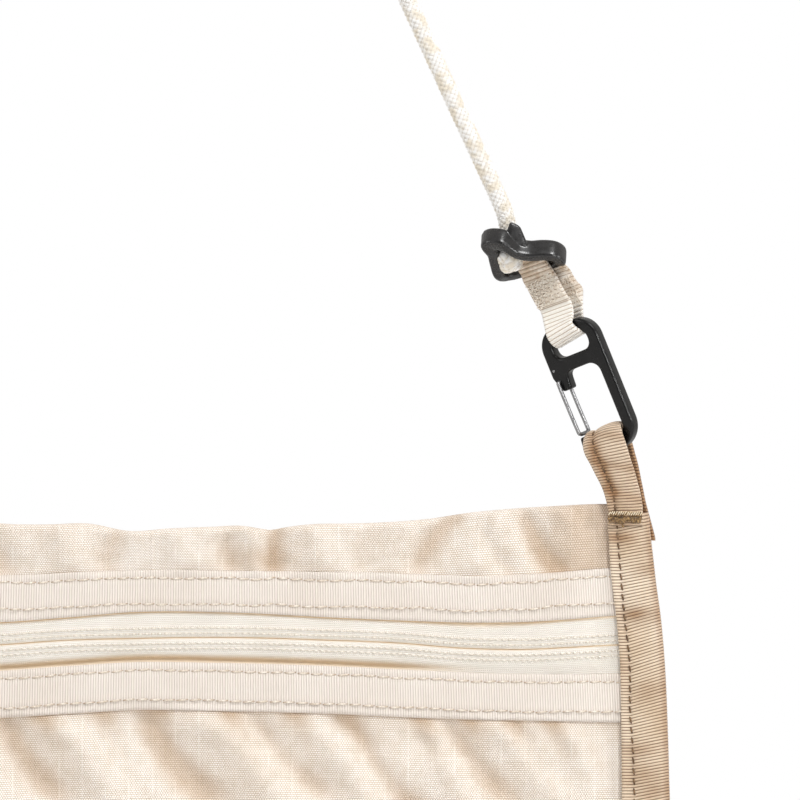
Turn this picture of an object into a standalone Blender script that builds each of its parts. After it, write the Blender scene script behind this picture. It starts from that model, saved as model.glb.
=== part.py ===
"""Neck pouch wallet: a flat zipped ripstop pouch that hangs from a braided neck cord.

Metres, +Z up, the front faces -Y. The origin is where the cord rests on the neck, at the inside of its
highest bend. Right-hand pieces are modelled in place and mirrored to make the left-hand ones.
"""

import math

import bmesh
import bpy
from mathutils import Matrix, Vector

MM = 0.001

# Pouch
POUCH_TOP = -228.0 * MM
POUCH_BOTTOM = -398.0 * MM
HALF_WIDTH_BOTTOM = 127.0 * MM
HALF_WIDTH_LEAN = 6.5 * MM
TOP_SAG = 4.0 * MM
BINDING_WIDTH = 13.0 * MM
EDGE_RISE = 9.0 * MM
EDGE_LAND = 1.5 * MM
FLAT_DEPTH = 2.0 * MM
FRONT_BELLY = 5.0 * MM
BACK_BELLY = 6.0 * MM
FOLD_HEIGHT = 2.4 * MM
COLUMNS = 20

# Layers, from the inside out
MID_GAP = 0.15 * MM
RIPSTOP = 0.4 * MM
FACING = 0.5 * MM
TAPE = 0.6 * MM
GAP = 0.3 * MM
END_GAP = TAPE + GAP

# Zip
ZIP_Z = -262.6 * MM
ZIP_SLIT = 0.6 * MM
ZIP_TAPE_HALF = 15.0 * MM
ZIP_COIL_WIDTH = 2.2 * MM
ZIP_COIL_THICKNESS = 1.1 * MM
FACING_HEIGHT = 12.0 * MM
UPPER_FACING_LOW = -255.4 * MM
LOWER_FACING_HIGH = -269.6 * MM
SLIDER_X = -95.0 * MM
SLIDER_PLATE = (8.4 * MM, 1.3 * MM, 7.6 * MM)
SLIDER_EDGE = 0.35 * MM
SLIDER_NECK = 2.0 * MM
SLIDER_BACK_SHARE = 0.9
BAIL_HEIGHT = 2.6 * MM
BAIL_HALF = 2.7 * MM
BAIL_CORNER = 0.7 * MM
BAIL_RADIUS = 0.6 * MM
PULLER_AXIS_HEIGHT = 0.95 * MM
PULLER_LENGTH = 24.0 * MM
PULLER_WIDTH = 5.4 * MM
PULLER_THICKNESS = 0.9 * MM
PULLER_TIP = 2.2 * MM
PULLER_HOOK = 0.45 * MM
PULLER_WINDOW = 3.0 * MM
PULLER_WINDOW_END = 4.3 * MM

# Neck cord
CORD_RADIUS = 2.25 * MM
CORD_STEP = 6.0 * MM
CORD_ROUTE = [
    (0.0, 2.2), (7.2, 0.8), (13.3, -3.2), (17.3, -8.8), (30.0, -36.0), (42.8, -63.5), (55.6, -91.0),
    (68.0, -118.0), (80.1, -144.3), (82.1, -150.2), (82.5, -153.5), (82.6, -157.0),
]
KNOT_CENTRE = Vector((82.7, 0.0, -160.7)) * MM
KNOT_RADII = (3.3 * MM, 3.0 * MM, 3.4 * MM)

# Carabiner, in its own plane: across, then along
CARABINER_CENTRE = Vector((104.45, 0.0, -194.4)) * MM
CARABINER_TILT = math.radians(22.0)
CARABINER_TURN = math.radians(31.0)
CARABINER_WIDTH = 18.0 * MM
CARABINER_LENGTH = 37.5 * MM
CARABINER_THICKNESS = 3.6 * MM
CARABINER_BAR = 3.4 * MM
BASKET_BAR = 4.6 * MM
EYE_HEIGHT = 5.3 * MM
CROSSBAR = 3.8 * MM
OUTER_CORNER = 6.0 * MM
NOSE_CORNER = 4.8 * MM
EYE_CORNER = 1.4 * MM
TONGUE_CORNER = 1.6 * MM
BASKET_TOP_CORNER = 3.0 * MM
BASKET_LOW_CORNER = 2.0 * MM
CARABINER_EDGE = 0.45 * MM
NOSE_TOP = -11.5 * MM
NOSE_INSET = 0.9 * MM
TONGUE_LOW = 1.6 * MM
TONGUE_INSET = 1.6 * MM
GATE_PIVOT = (-7.3 * MM, 4.2 * MM)
GATE_LOW = -10.6 * MM
GATE_RADIUS = 0.5 * MM
GATE_HALF_SPAN = 2.7 * MM
GATE_BEND = 0.5 * MM
GATE_SLANT = 0.2 * MM

# Adjuster and webbing tab
ADJUSTER_RADIUS = 1.4 * MM
ADJUSTER_STEP = 2.2 * MM
ADJUSTER_RING = [
    (76.2, -3.0, -155.4), (79.4, -4.3, -154.3), (82.4, -4.8, -155.9), (85.4, -3.9, -158.3),
    (88.2, -2.3, -159.7), (92.0, -4.0, -159.2), (95.9, -5.4, -158.5), (98.2, -4.0, -159.3),
    (98.0, -1.8, -160.1), (95.4, -0.1, -160.8), (90.6, 3.0, -162.7), (85.8, 6.1, -164.6),
    (82.6, 5.8, -165.3), (79.2, 3.6, -164.4), (76.9, 0.2, -159.9),
]
THUMB_TAB_BASE = Vector((86.0, -4.2, -156.4)) * MM
THUMB_TAB_SIZE = (5.6 * MM, 2.4 * MM, 8.4 * MM)
THUMB_TAB_LEAN = math.radians(24.0)
THUMB_TAB_SUNK = 2.0 * MM
TAB_TOP = Vector((90.6, 3.0, -162.7)) * MM
WEBBING_WIDTH = 9.2 * MM
WEBBING = 1.1 * MM
TAB_TOP_HOLE = 2.5 * MM
TAB_LOW_HOLE = 3.6 * MM
TAB_WAIST = 1.25 * MM
TAB_BARTACK_SIZE = (7.6 * MM, 3.4 * MM, 0.5 * MM)
STITCH_EDGE = 0.15 * MM

# Hanging loop: the binding's own tape, over the carabiner's lower bar
LOOP_WIDTH = 9.4 * MM
LOOP_FOOT = Vector((113.6, 0.0, -231.5)) * MM
LOOP_CUT_END = 4.5 * MM
LOOP_GAP_TOP = 4.0 * MM
LOOP_SHIFT = -0.6 * MM
LOOP_LEG = 0.42
LOOP_FOOT_SHARE = 0.3
LOOP_LEAN = 0.12
BINDING_FACE = 0.4
BARTACK_SIZE = (8.8 * MM, 0.5 * MM, 2.6 * MM)
BARTACK_Z = -229.0 * MM

COLOURS = {
    "ripstop": ((0.85, 0.77, 0.66), 0.75, 0.0),
    "facing": ((0.84, 0.79, 0.71), 0.8, 0.0),
    "zip": ((0.92, 0.88, 0.77), 0.7, 0.0),
    "tan": ((0.58, 0.44, 0.29), 0.8, 0.0),
    "thread": ((0.38, 0.26, 0.13), 0.8, 0.0),
    "cord": ((0.82, 0.79, 0.70), 0.8, 0.0),
    "webbing": ((0.83, 0.77, 0.67), 0.75, 0.0),
    "aluminium": ((0.03, 0.03, 0.03), 0.35, 1.0),
    "steel": ((0.6, 0.6, 0.6), 0.2, 1.0),
    "plastic": ((0.03, 0.03, 0.03), 0.4, 0.0),
}


def clear_scene():
    for obj in list(bpy.data.objects):
        bpy.data.objects.remove(obj, do_unlink=True)


def new_collection(name):
    collection = bpy.data.collections.new(name)
    bpy.context.scene.collection.children.link(collection)
    return collection


def material_for(name, look):
    colour, roughness, metallic = COLOURS[look]
    material = bpy.data.materials.new(name)
    material.use_nodes = True
    shader = material.node_tree.nodes["Principled BSDF"]
    shader.inputs["Base Color"].default_value = (*colour, 1.0)
    shader.inputs["Roughness"].default_value = roughness
    shader.inputs["Metallic"].default_value = metallic
    return material


def add_object(name, data, look, smooth_angle=40.0):
    obj = bpy.data.objects.new(name, data)
    PARTS.objects.link(obj)
    data.materials.clear()
    data.materials.append(material_for(name, look))
    if isinstance(data, bpy.types.Mesh) and smooth_angle:
        data.shade_smooth()
        data.set_sharp_from_angle(angle=math.radians(smooth_angle))
    return obj


def add_solidify(obj, thickness, offset=1.0):
    modifier = obj.modifiers.new("Thickness", "SOLIDIFY")
    modifier.thickness = thickness
    modifier.offset = offset
    modifier.use_even_offset = True
    return modifier


def add_bevel(obj, width, segments=2):
    modifier = obj.modifiers.new("Rounded edges", "BEVEL")
    modifier.width = width
    modifier.segments = segments
    modifier.limit_method = "ANGLE"
    modifier.angle_limit = math.radians(35.0)
    return modifier


def grid_mesh(name, columns, rows, place):
    """A flat grid primitive whose corners are moved to place(a, b), with a and b from 0 to 1."""
    bm = bmesh.new()
    bmesh.ops.create_grid(bm, x_segments=columns, y_segments=rows, size=0.5)
    for vert in bm.verts:
        vert.co = Vector(place(vert.co.x + 0.5, vert.co.y + 0.5))
    mesh = bpy.data.meshes.new(name)
    bm.to_mesh(mesh)
    bm.free()
    return mesh


def box_mesh(name, size, matrix=Matrix()):
    bm = bmesh.new()
    bmesh.ops.create_cube(bm, size=1.0)
    bmesh.ops.scale(bm, vec=size, verts=bm.verts)
    bmesh.ops.transform(bm, matrix=matrix, verts=bm.verts)
    mesh = bpy.data.meshes.new(name)
    bm.to_mesh(mesh)
    bm.free()
    return mesh


def evaluated_mesh(obj, name):
    """The object's mesh with its modifiers, in world space, its loose curve caps welded."""
    bpy.context.view_layer.update()
    depsgraph = bpy.context.evaluated_depsgraph_get()
    mesh = bpy.data.meshes.new_from_object(obj.evaluated_get(depsgraph), depsgraph=depsgraph)
    mesh.name = name
    mesh.transform(obj.matrix_world)
    bm = bmesh.new()
    bm.from_mesh(mesh)
    bmesh.ops.remove_doubles(bm, verts=bm.verts, dist=0.00001)
    bm.to_mesh(mesh)
    bm.free()
    return mesh


def to_mesh_object(obj, look):
    """Replaces a curve or a modified object by the plain mesh that it evaluates to."""
    name = obj.name
    mesh = evaluated_mesh(obj, name)
    bpy.data.objects.remove(obj, do_unlink=True)
    return add_object(name, mesh, look)


def outline_curve(name, outlines, thickness, look, matrix, bevel=0.0):
    """Flat outlines, the first one outside and the others holes, extruded both ways."""
    data = bpy.data.curves.new(name, "CURVE")
    data.dimensions = "2D"
    data.fill_mode = "BOTH"
    data.extrude = thickness / 2 - bevel
    data.bevel_depth = bevel
    data.bevel_resolution = 0
    data.offset = -bevel
    for outline in outlines:
        spline = data.splines.new("POLY")
        spline.points.add(len(outline) - 1)
        for point, (x, y) in zip(spline.points, outline):
            point.co = (x, y, 0.0, 1.0)
        spline.use_cyclic_u = True
    obj = add_object(name, data, look, smooth_angle=None)
    obj.matrix_world = matrix
    return obj


def tube_curve(name, points, radius, look, closed=False, resolution=2):
    data = bpy.data.curves.new(name, "CURVE")
    data.dimensions = "3D"
    data.bevel_depth = radius
    data.bevel_resolution = resolution
    data.use_fill_caps = True
    spline = data.splines.new("POLY")
    spline.points.add(len(points) - 1)
    for point, place in zip(spline.points, points):
        point.co = (*place, 1.0)
    spline.use_cyclic_u = closed
    return add_object(name, data, look, smooth_angle=None)


def smooth_points(route, step, closed=False):
    """Points at even steps along a smooth curve through the route's own points."""
    count = len(route)
    dense = []
    spans = count if closed else count - 1
    for index in range(spans):
        corners = []
        for shift in (-1, 0, 1, 2):
            place = index + shift
            place = place % count if closed else min(max(place, 0), count - 1)
            corners.append(Vector(route[place]))
        a, b, c, d = corners
        for part in range(16):
            t = part / 16
            square = (2 * a - 5 * b + 4 * c - d) * t ** 2
            cube = (3 * b - a - 3 * c + d) * t ** 3
            dense.append(0.5 * (2 * b + (c - a) * t + square + cube))
    dense.append(Vector(route[0] if closed else route[-1]))
    lengths = [0.0]
    for a, b in zip(dense, dense[1:]):
        lengths.append(lengths[-1] + (b - a).length)
    pieces = max(2, round(lengths[-1] / step))
    points = []
    at = 0
    for index in range(pieces if closed else pieces + 1):
        target = lengths[-1] * index / pieces
        while at < len(lengths) - 2 and lengths[at + 1] < target:
            at += 1
        share = (target - lengths[at]) / (lengths[at + 1] - lengths[at])
        points.append(dense[at].lerp(dense[at + 1], share))
    return points


def union(base, others, look):
    """Joins the other closed solids into the base by Boolean unions."""
    for other in others:
        modifier = base.modifiers.new("Join", "BOOLEAN")
        modifier.operation = "UNION"
        modifier.solver = "EXACT"
        modifier.object = other
    mesh = evaluated_mesh(base, base.name)
    name = base.name
    for obj in [base, *others]:
        bpy.data.objects.remove(obj, do_unlink=True)
    return add_object(name, mesh, look)


def mirrored(obj, name, look):
    """The same piece on the other side of the plane x = 0."""
    mesh = evaluated_mesh(obj, name)
    mesh.transform(Matrix.Scale(-1.0, 4, (1.0, 0.0, 0.0)))
    mesh.flip_normals()
    return add_object(name, mesh, look)


def pivot(name, place, pieces):
    """An empty on a joint's axis that carries the pieces moving about it."""
    empty = bpy.data.objects.new(name, None)
    empty.empty_display_size = 0.01
    empty.location = place
    PARTS.objects.link(empty)
    bpy.context.view_layer.update()
    for piece in pieces:
        world = piece.matrix_world.copy()
        piece.parent = empty
        piece.matrix_parent_inverse = empty.matrix_world.inverted()
        piece.matrix_world = world
    return empty


def basis(across, along, out, origin):
    """A matrix whose local X, Y and Z run along the three directions."""
    matrix = Matrix((across, along, out)).transposed().to_4x4()
    matrix.translation = origin
    return matrix


def arc(centre, radius, start, end, steps):
    points = []
    for index in range(steps + 1):
        angle = math.radians(start + (end - start) * index / steps)
        points.append((centre[0] + radius * math.cos(angle), centre[1] + radius * math.sin(angle)))
    return points


def rounded_rectangle(x0, x1, y0, y1, radius, steps=4):
    points = []
    points += arc((x1 - radius, y1 - radius), radius, 0, 90, steps)
    points += arc((x0 + radius, y1 - radius), radius, 90, 180, steps)
    points += arc((x0 + radius, y0 + radius), radius, 180, 270, steps)
    points += arc((x1 - radius, y0 + radius), radius, 270, 360, steps)
    return points


# The pouch's surface

def smooth_step(value):
    value = min(max(value, 0.0), 1.0)
    return value * value * (3.0 - 2.0 * value)


def height_share(z):
    return min(max((z - POUCH_BOTTOM) / (POUCH_TOP - POUCH_BOTTOM), 0.0), 1.0)


def half_width(z):
    return HALF_WIDTH_BOTTOM - HALF_WIDTH_LEAN * height_share(z) ** 2


def top_edge(x):
    return POUCH_TOP - TOP_SAG * (1.0 - min(abs(x) / half_width(POUCH_TOP), 1.0) ** 3)


def depth(x, z, belly, belly_top):
    """Distance of the fabric's inner face from the pouch's middle plane."""
    inner = half_width(z) - BINDING_WIDTH - EDGE_LAND
    plateau = smooth_step((inner - abs(x)) / EDGE_RISE)
    dome = max(1.0 - (x / inner) ** 2, 0.0) ** 0.8
    share = height_share(z)
    rise = math.sin(math.pi * share / belly_top) if share < belly_top else 0.0
    return MID_GAP + FLAT_DEPTH * plateau + belly * dome * rise


def side_share(a):
    """Columns across the pouch, closer together towards its sides."""
    return math.sin(math.pi * (a - 0.5))


def mix(a, b, share):
    return a + (b - a) * share


def front_depth(x, z):
    return depth(x, z, FRONT_BELLY, 0.64)


def back_depth(x, z):
    return depth(x, z, BACK_BELLY, 0.95)


def strip(name, z_high, z_low, layer, thickness, look, rows=2):
    """A strip of tape across the pouch's front, lying on the fabric's front face."""
    def place(a, b):
        z = z_low + (z_high - z_low) * b
        x = side_share(a) * (half_width(z) - END_GAP)
        return x, -(front_depth(x, z) + layer), z

    obj = add_object(name, grid_mesh(name, COLUMNS, rows, place), look)
    add_solidify(obj, thickness)
    return obj


def make_body():
    """One sheet from the zip down the front, round the bottom fold, up the back and over the top to the zip."""
    lower_end = LOWER_FACING_HIGH - FACING_HEIGHT / 2
    upper_end = UPPER_FACING_LOW + FACING_HEIGHT / 2
    low = POUCH_BOTTOM + FOLD_HEIGHT

    def place(a, b):
        share = side_share(a)
        top = top_edge(share * half_width(POUCH_TOP)) - FOLD_HEIGHT
        stage = b * 6.0
        side = -1.0
        if stage < 1.0:
            z = level = mix(lower_end, low, stage ** 1.5)
        elif stage < 2.0:
            angle = (stage - 1.0) * math.pi
            z = low - FOLD_HEIGHT * math.sin(angle)
            level = low
            side = -math.cos(angle)
        elif stage < 4.0:
            z = level = mix(low, top, (stage - 2.0) / 2.0)
            side = 1.0
        elif stage < 5.0:
            angle = (stage - 4.0) * math.pi
            z = top + FOLD_HEIGHT * math.sin(angle)
            level = top
            side = math.cos(angle)
        else:
            z = level = mix(top, upper_end, stage - 5.0)
        x = share * (half_width(z) - END_GAP)
        reach = back_depth(x, level) if side > 0.0 else front_depth(x, level)
        return x, side * reach, z

    obj = add_object("ripstop_body", grid_mesh("ripstop_body", COLUMNS, 36, place), "ripstop")
    add_solidify(obj, RIPSTOP, offset=-1.0)
    return obj


def make_zip():
    """The two zip tapes level with the fabric, the two facings over their seams, and the two coils inside."""
    over = RIPSTOP + GAP
    upper_top = UPPER_FACING_LOW + FACING_HEIGHT
    lower_low = LOWER_FACING_HIGH - FACING_HEIGHT
    upper_tape_top = UPPER_FACING_LOW + FACING_HEIGHT / 2 - GAP
    lower_tape_low = LOWER_FACING_HIGH - FACING_HEIGHT / 2 + GAP
    pieces = [
        strip("upper_zip_facing", upper_top, UPPER_FACING_LOW, over, FACING, "facing"),
        strip("lower_zip_facing", LOWER_FACING_HIGH, lower_low, over, FACING, "facing"),
        strip("upper_zip_tape", upper_tape_top, ZIP_Z + ZIP_SLIT, 0.0, RIPSTOP, "zip"),
        strip("lower_zip_tape", ZIP_Z - ZIP_SLIT, lower_tape_low, 0.0, RIPSTOP, "zip"),
    ]
    coil_half = half_width(ZIP_Z) - BINDING_WIDTH - EDGE_LAND - EDGE_RISE
    coil_y = -(front_depth(0.0, ZIP_Z) - GAP - ZIP_COIL_THICKNESS / 2)
    for name, side in (("upper_zip_coil", 1.0), ("lower_zip_coil", -1.0)):
        centre = Matrix.Translation((0.0, coil_y, ZIP_Z + side * (ZIP_SLIT + ZIP_COIL_WIDTH / 2)))
        mesh = box_mesh(name, (2 * coil_half, ZIP_COIL_THICKNESS, ZIP_COIL_WIDTH), centre)
        coil = add_object(name, mesh, "zip")
        add_bevel(coil, SLIDER_EDGE)
        pieces.append(coil)
    return pieces


def make_slider():
    """The slider's front and back plates, its neck through the slit and its bail, and the puller's axis."""
    length, plate, height = SLIDER_PLATE
    front_inner = -(front_depth(0.0, ZIP_Z) + RIPSTOP + GAP)
    front_y = front_inner - plate / 2
    back_inner = -(front_depth(0.0, ZIP_Z) - 2 * GAP - ZIP_COIL_THICKNESS)
    back_y = back_inner + plate / 2
    front_centre = Matrix.Translation((SLIDER_X, front_y, ZIP_Z))
    base = add_object("zip_slider", box_mesh("zip_slider", SLIDER_PLATE, front_centre), "steel")
    add_bevel(base, SLIDER_EDGE)
    back_centre = Matrix.Translation((SLIDER_X, back_y, ZIP_Z))
    back_size = (length * SLIDER_BACK_SHARE, plate, height)
    back = add_object("slider_back", box_mesh("slider_back", back_size, back_centre), "steel")
    add_bevel(back, SLIDER_EDGE)
    neck_size = (SLIDER_NECK, back_y - front_y, ZIP_SLIT)
    neck_centre = Matrix.Translation((SLIDER_X, (front_y + back_y) / 2, ZIP_Z))
    neck = add_object("slider_neck", box_mesh("slider_neck", neck_size, neck_centre), "steel")
    top = front_y - plate / 2
    bail_top = top - BAIL_HEIGHT
    bail_points = [
        (SLIDER_X - BAIL_HALF, front_y, ZIP_Z),
        (SLIDER_X - BAIL_HALF, bail_top + BAIL_CORNER, ZIP_Z),
        (SLIDER_X - BAIL_HALF + BAIL_CORNER, bail_top, ZIP_Z),
        (SLIDER_X + BAIL_HALF - BAIL_CORNER, bail_top, ZIP_Z),
        (SLIDER_X + BAIL_HALF, bail_top + BAIL_CORNER, ZIP_Z),
        (SLIDER_X + BAIL_HALF, front_y, ZIP_Z),
    ]
    bail = to_mesh_object(tube_curve("slider_bail", bail_points, BAIL_RADIUS, "steel"), "steel")
    slider = union(base, [back, neck, bail], "steel")
    axis_place = Vector((SLIDER_X, top - PULLER_AXIS_HEIGHT, ZIP_Z))
    return slider, axis_place


def make_puller(axis_place):
    """A flat tongue that hangs in the bail, which passes through its window."""
    half = PULLER_WIDTH / 2
    tip = PULLER_LENGTH - PULLER_TIP
    window_half = PULLER_WINDOW / 2
    outline = [(-PULLER_HOOK, -half), (tip, -half)]
    outline += arc((tip, 0.0), half, -60, 60, 5)
    outline += [(tip, half), (-PULLER_HOOK, half)]
    window = rounded_rectangle(PULLER_HOOK, PULLER_WINDOW_END, -window_half, window_half, GAP, 1)
    matrix = basis(Vector((1, 0, 0)), Vector((0, 0, 1)), Vector((0, -1, 0)), axis_place)
    obj = outline_curve("zip_puller", [outline, window], PULLER_THICKNESS, "steel", matrix)
    return to_mesh_object(obj, "steel")


# Right-hand hardware

ACROSS = Vector((
    math.cos(CARABINER_TILT) * math.cos(CARABINER_TURN),
    -math.sin(CARABINER_TURN),
    math.sin(CARABINER_TILT) * math.cos(CARABINER_TURN),
))
ALONG = Vector((-math.sin(CARABINER_TILT), 0.0, math.cos(CARABINER_TILT)))
OUT = ACROSS.cross(ALONG)
CARABINER = basis(ACROSS, ALONG, OUT, CARABINER_CENTRE)
EYE_BAR_CENTRE = CARABINER_LENGTH / 2 - CARABINER_BAR / 2
BASKET_BAR_CENTRE = -CARABINER_LENGTH / 2 + BASKET_BAR / 2


def make_carabiner():
    half_w = CARABINER_WIDTH / 2
    half_l = CARABINER_LENGTH / 2
    inner = half_w - CARABINER_BAR
    eye_top = half_l - CARABINER_BAR
    eye_low = eye_top - EYE_HEIGHT
    basket_top = eye_low - CROSSBAR
    basket_low = -half_l + BASKET_BAR
    tongue_right = -inner + TONGUE_INSET - CARABINER_EDGE
    throat = basket_top - TONGUE_CORNER
    outer = arc((half_w - OUTER_CORNER, half_l - OUTER_CORNER), OUTER_CORNER, 0, 90, 6)
    outer += arc((-half_w + OUTER_CORNER, half_l - OUTER_CORNER), OUTER_CORNER, 90, 180, 6)
    outer += [(-half_w, throat), (-half_w + TONGUE_INSET, TONGUE_LOW)]
    outer += [(tongue_right, TONGUE_LOW), (tongue_right, throat)]
    outer += arc((tongue_right + TONGUE_CORNER, throat), TONGUE_CORNER, 180, 90, 3)
    outer += arc((inner - BASKET_TOP_CORNER, basket_top - BASKET_TOP_CORNER), BASKET_TOP_CORNER, 90, 0, 4)
    outer += arc((inner - BASKET_LOW_CORNER, basket_low + BASKET_LOW_CORNER), BASKET_LOW_CORNER, 0, -90, 3)
    outer += [(-inner, basket_low), (-inner - CARABINER_EDGE, NOSE_TOP), (-half_w + NOSE_INSET, NOSE_TOP)]
    outer += arc((-half_w + NOSE_CORNER, -half_l + NOSE_CORNER), NOSE_CORNER, 200, 270, 5)
    outer += arc((half_w - OUTER_CORNER, -half_l + OUTER_CORNER), OUTER_CORNER, 270, 360, 6)
    eye = rounded_rectangle(-inner, inner, eye_low, eye_top, EYE_CORNER)
    outlines = [outer, eye]
    obj = outline_curve("right_carabiner", outlines, CARABINER_THICKNESS, "aluminium", CARABINER, CARABINER_EDGE)
    return to_mesh_object(obj, "aluminium")


def make_gate():
    """The wire gate: a U round the nose, its ends turned into the carabiner's frame."""
    u, v = GATE_PIVOT
    foot = u + GATE_SLANT
    half = GATE_HALF_SPAN
    local = [
        (u, v, half - GATE_BEND), (u, v - GATE_BEND, half), (foot, GATE_LOW + GATE_BEND, half),
        (foot, GATE_LOW, half - GATE_BEND), (foot, GATE_LOW, -half + GATE_BEND),
        (foot, GATE_LOW + GATE_BEND, -half), (u, v - GATE_BEND, -half), (u, v, -half + GATE_BEND),
    ]
    points = [CARABINER @ Vector(place) for place in local]
    obj = tube_curve("right_gate", points, GATE_RADIUS, "steel", resolution=1)
    return to_mesh_object(obj, "steel")


def make_tab():
    """Webbing with a hole for each bar, narrow between them, and the block of stitches on its front."""
    low = CARABINER @ Vector((0.0, EYE_BAR_CENTRE, 0.0))
    along = TAB_TOP - low
    span = along.length
    along.normalize()
    across = (ACROSS - along * ACROSS.dot(along)).normalized()
    out = across.cross(along)
    matrix = basis(out, along, -across, low)
    big = TAB_LOW_HOLE + WEBBING
    small = TAB_TOP_HOLE + WEBBING
    outer = arc((0.0, 0.0), big, 145, 395, 12)
    outer += [(TAB_WAIST, span * 0.42), (TAB_WAIST, span * 0.6)]
    outer += arc((0.0, span), small, -35, 215, 10)
    outer += [(-TAB_WAIST, span * 0.6), (-TAB_WAIST, span * 0.42)]
    holes = [arc((0.0, 0.0), TAB_LOW_HOLE, 0, 330, 11), arc((0.0, span), TAB_TOP_HOLE, 0, 324, 9)]
    obj = outline_curve("right_webbing_tab", [outer, *holes], WEBBING_WIDTH, "webbing", matrix)
    tab = to_mesh_object(obj, "webbing")
    stitch_out = TAB_WAIST + GAP + TAB_BARTACK_SIZE[2] / 2
    stitch_matrix = basis(across, along, out, low + along * span * 0.5 + out * stitch_out)
    mesh = box_mesh("right_tab_bartack", TAB_BARTACK_SIZE, stitch_matrix)
    bartack = add_object("right_tab_bartack", mesh, "webbing")
    add_bevel(bartack, STITCH_EDGE, 1)
    return [tab, bartack]


def make_adjuster():
    """A bent ring for the cord and the webbing, with a leaning thumb tab."""
    ring_points = smooth_points([Vector(place) * MM for place in ADJUSTER_RING], ADJUSTER_STEP, closed=True)
    curve = tube_curve("right_adjuster", ring_points, ADJUSTER_RADIUS, "plastic", closed=True, resolution=1)
    ring = to_mesh_object(curve, "plastic")
    lean = Matrix.Rotation(-THUMB_TAB_LEAN, 4, "Y")
    shift = Matrix.Translation((0.0, 0.0, THUMB_TAB_SIZE[2] / 2 - THUMB_TAB_SUNK))
    matrix = Matrix.Translation(THUMB_TAB_BASE) @ lean @ shift
    tab = add_object("thumb_tab", box_mesh("thumb_tab", THUMB_TAB_SIZE, matrix), "plastic")
    add_bevel(tab, 0.5 * MM)
    return union(ring, [tab], "plastic")


def make_knot():
    bm = bmesh.new()
    bmesh.ops.create_uvsphere(bm, u_segments=14, v_segments=9, radius=1.0)
    bmesh.ops.scale(bm, vec=KNOT_RADII, verts=bm.verts)
    mesh = bpy.data.meshes.new("right_cord_knot")
    bm.to_mesh(mesh)
    bm.free()
    mesh.transform(Matrix.Translation(KNOT_CENTRE))
    return add_object("right_cord_knot", mesh, "cord")


def make_cord():
    right = [Vector((x, 0.0, z)) * MM for x, z in CORD_ROUTE]
    left = [Vector((-point.x, 0.0, point.z)) for point in reversed(right[1:])]
    points = smooth_points(left + right, CORD_STEP)
    return to_mesh_object(tube_curve("neck_cord", points, CORD_RADIUS, "cord", resolution=2), "cord")


BINDING_FACE_Y = MID_GAP + RIPSTOP + GAP + FACING + GAP
LOOP_FOOT_Y = BINDING_FACE_Y + TAPE


def make_binding_tape():
    """A tape folded over the pouch's side."""
    top = POUCH_TOP + 1.0 * MM
    bottom = POUCH_BOTTOM - 1.0 * MM
    reach = BINDING_WIDTH - TAPE

    def place(a, b):
        z = mix(bottom, top, b)
        edge = half_width(z) - TAPE
        if a < BINDING_FACE:
            return edge - reach * (1.0 - a / BINDING_FACE), -BINDING_FACE_Y, z
        if a > 1.0 - BINDING_FACE:
            return edge - reach * (a - 1.0 + BINDING_FACE) / BINDING_FACE, BINDING_FACE_Y, z
        turn = (a - BINDING_FACE) / (1.0 - 2 * BINDING_FACE) * math.pi
        return edge, -BINDING_FACE_Y * math.cos(turn), z

    binding = add_object("right_binding", grid_mesh("right_binding", 10, 12, place), "tan")
    add_solidify(binding, TAPE)
    return binding


def make_loop():
    """The binding's own end, taken up over the carabiner's lower bar and down behind itself."""
    bar = CARABINER @ Vector((LOOP_SHIFT, BASKET_BAR_CENTRE, 0.0))
    up = bar - LOOP_FOOT
    rise = up.length
    up.normalize()

    def place(a, b):
        if b < LOOP_LEG:
            height, angle, face = b / LOOP_LEG, math.pi, 1.0
        elif b > 1.0 - LOOP_LEG:
            height, angle, face = (1.0 - b) / LOOP_LEG, 0.0, -1.0
        else:
            angle = math.pi * (1.0 - (b - LOOP_LEG) / (1.0 - 2 * LOOP_LEG))
            height, face = 1.0, -math.cos(angle)
        twist = smooth_step(height)
        across = Vector((1.0, 0.0, LOOP_LEAN)).lerp(ACROSS, twist).normalized()
        out = Vector((0.0, -1.0, 0.0)).lerp(OUT, twist).normalized()
        gap = mix(LOOP_FOOT_Y, LOOP_GAP_TOP, smooth_step(height * 1.2))
        drop = 0.0
        if face < 0.0 and height < LOOP_FOOT_SHARE:
            left = LOOP_FOOT_SHARE - height
            drop = LOOP_CUT_END * left / LOOP_FOOT_SHARE
            gap += (TAPE + GAP) * min(left * 10.0, 1.0)
        lift = LOOP_GAP_TOP * math.sin(angle)
        centre = LOOP_FOOT + up * (rise * height - drop) + ALONG * lift
        return centre + out * gap * face + across * (a - 0.5) * LOOP_WIDTH

    loop = add_object("hanging_loop", grid_mesh("hanging_loop", 3, 30, place), "tan")
    add_solidify(loop, TAPE * 1.3, offset=0.0)
    return loop


def make_bartack():
    y = -(LOOP_FOOT_Y + TAPE * 0.65 + GAP + BARTACK_SIZE[1] / 2)
    matrix = Matrix.Translation((LOOP_FOOT.x - 0.4 * MM, y, BARTACK_Z))
    bartack = add_object("right_bartack", box_mesh("right_bartack", BARTACK_SIZE, matrix), "thread")
    add_bevel(bartack, STITCH_EDGE, 1)
    return bartack


clear_scene()
PARTS = new_collection("neck_pouch_wallet")

cord = make_cord()
knot = make_knot()
mirrored(knot, "left_cord_knot", "cord")
adjuster = make_adjuster()
mirrored(adjuster, "left_adjuster", "plastic")

tab, tab_bartack = make_tab()
tab_pieces = [tab, mirrored(tab, "left_webbing_tab", "webbing")]
tab_pieces += [tab_bartack, mirrored(tab_bartack, "left_tab_bartack", "webbing")]

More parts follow.
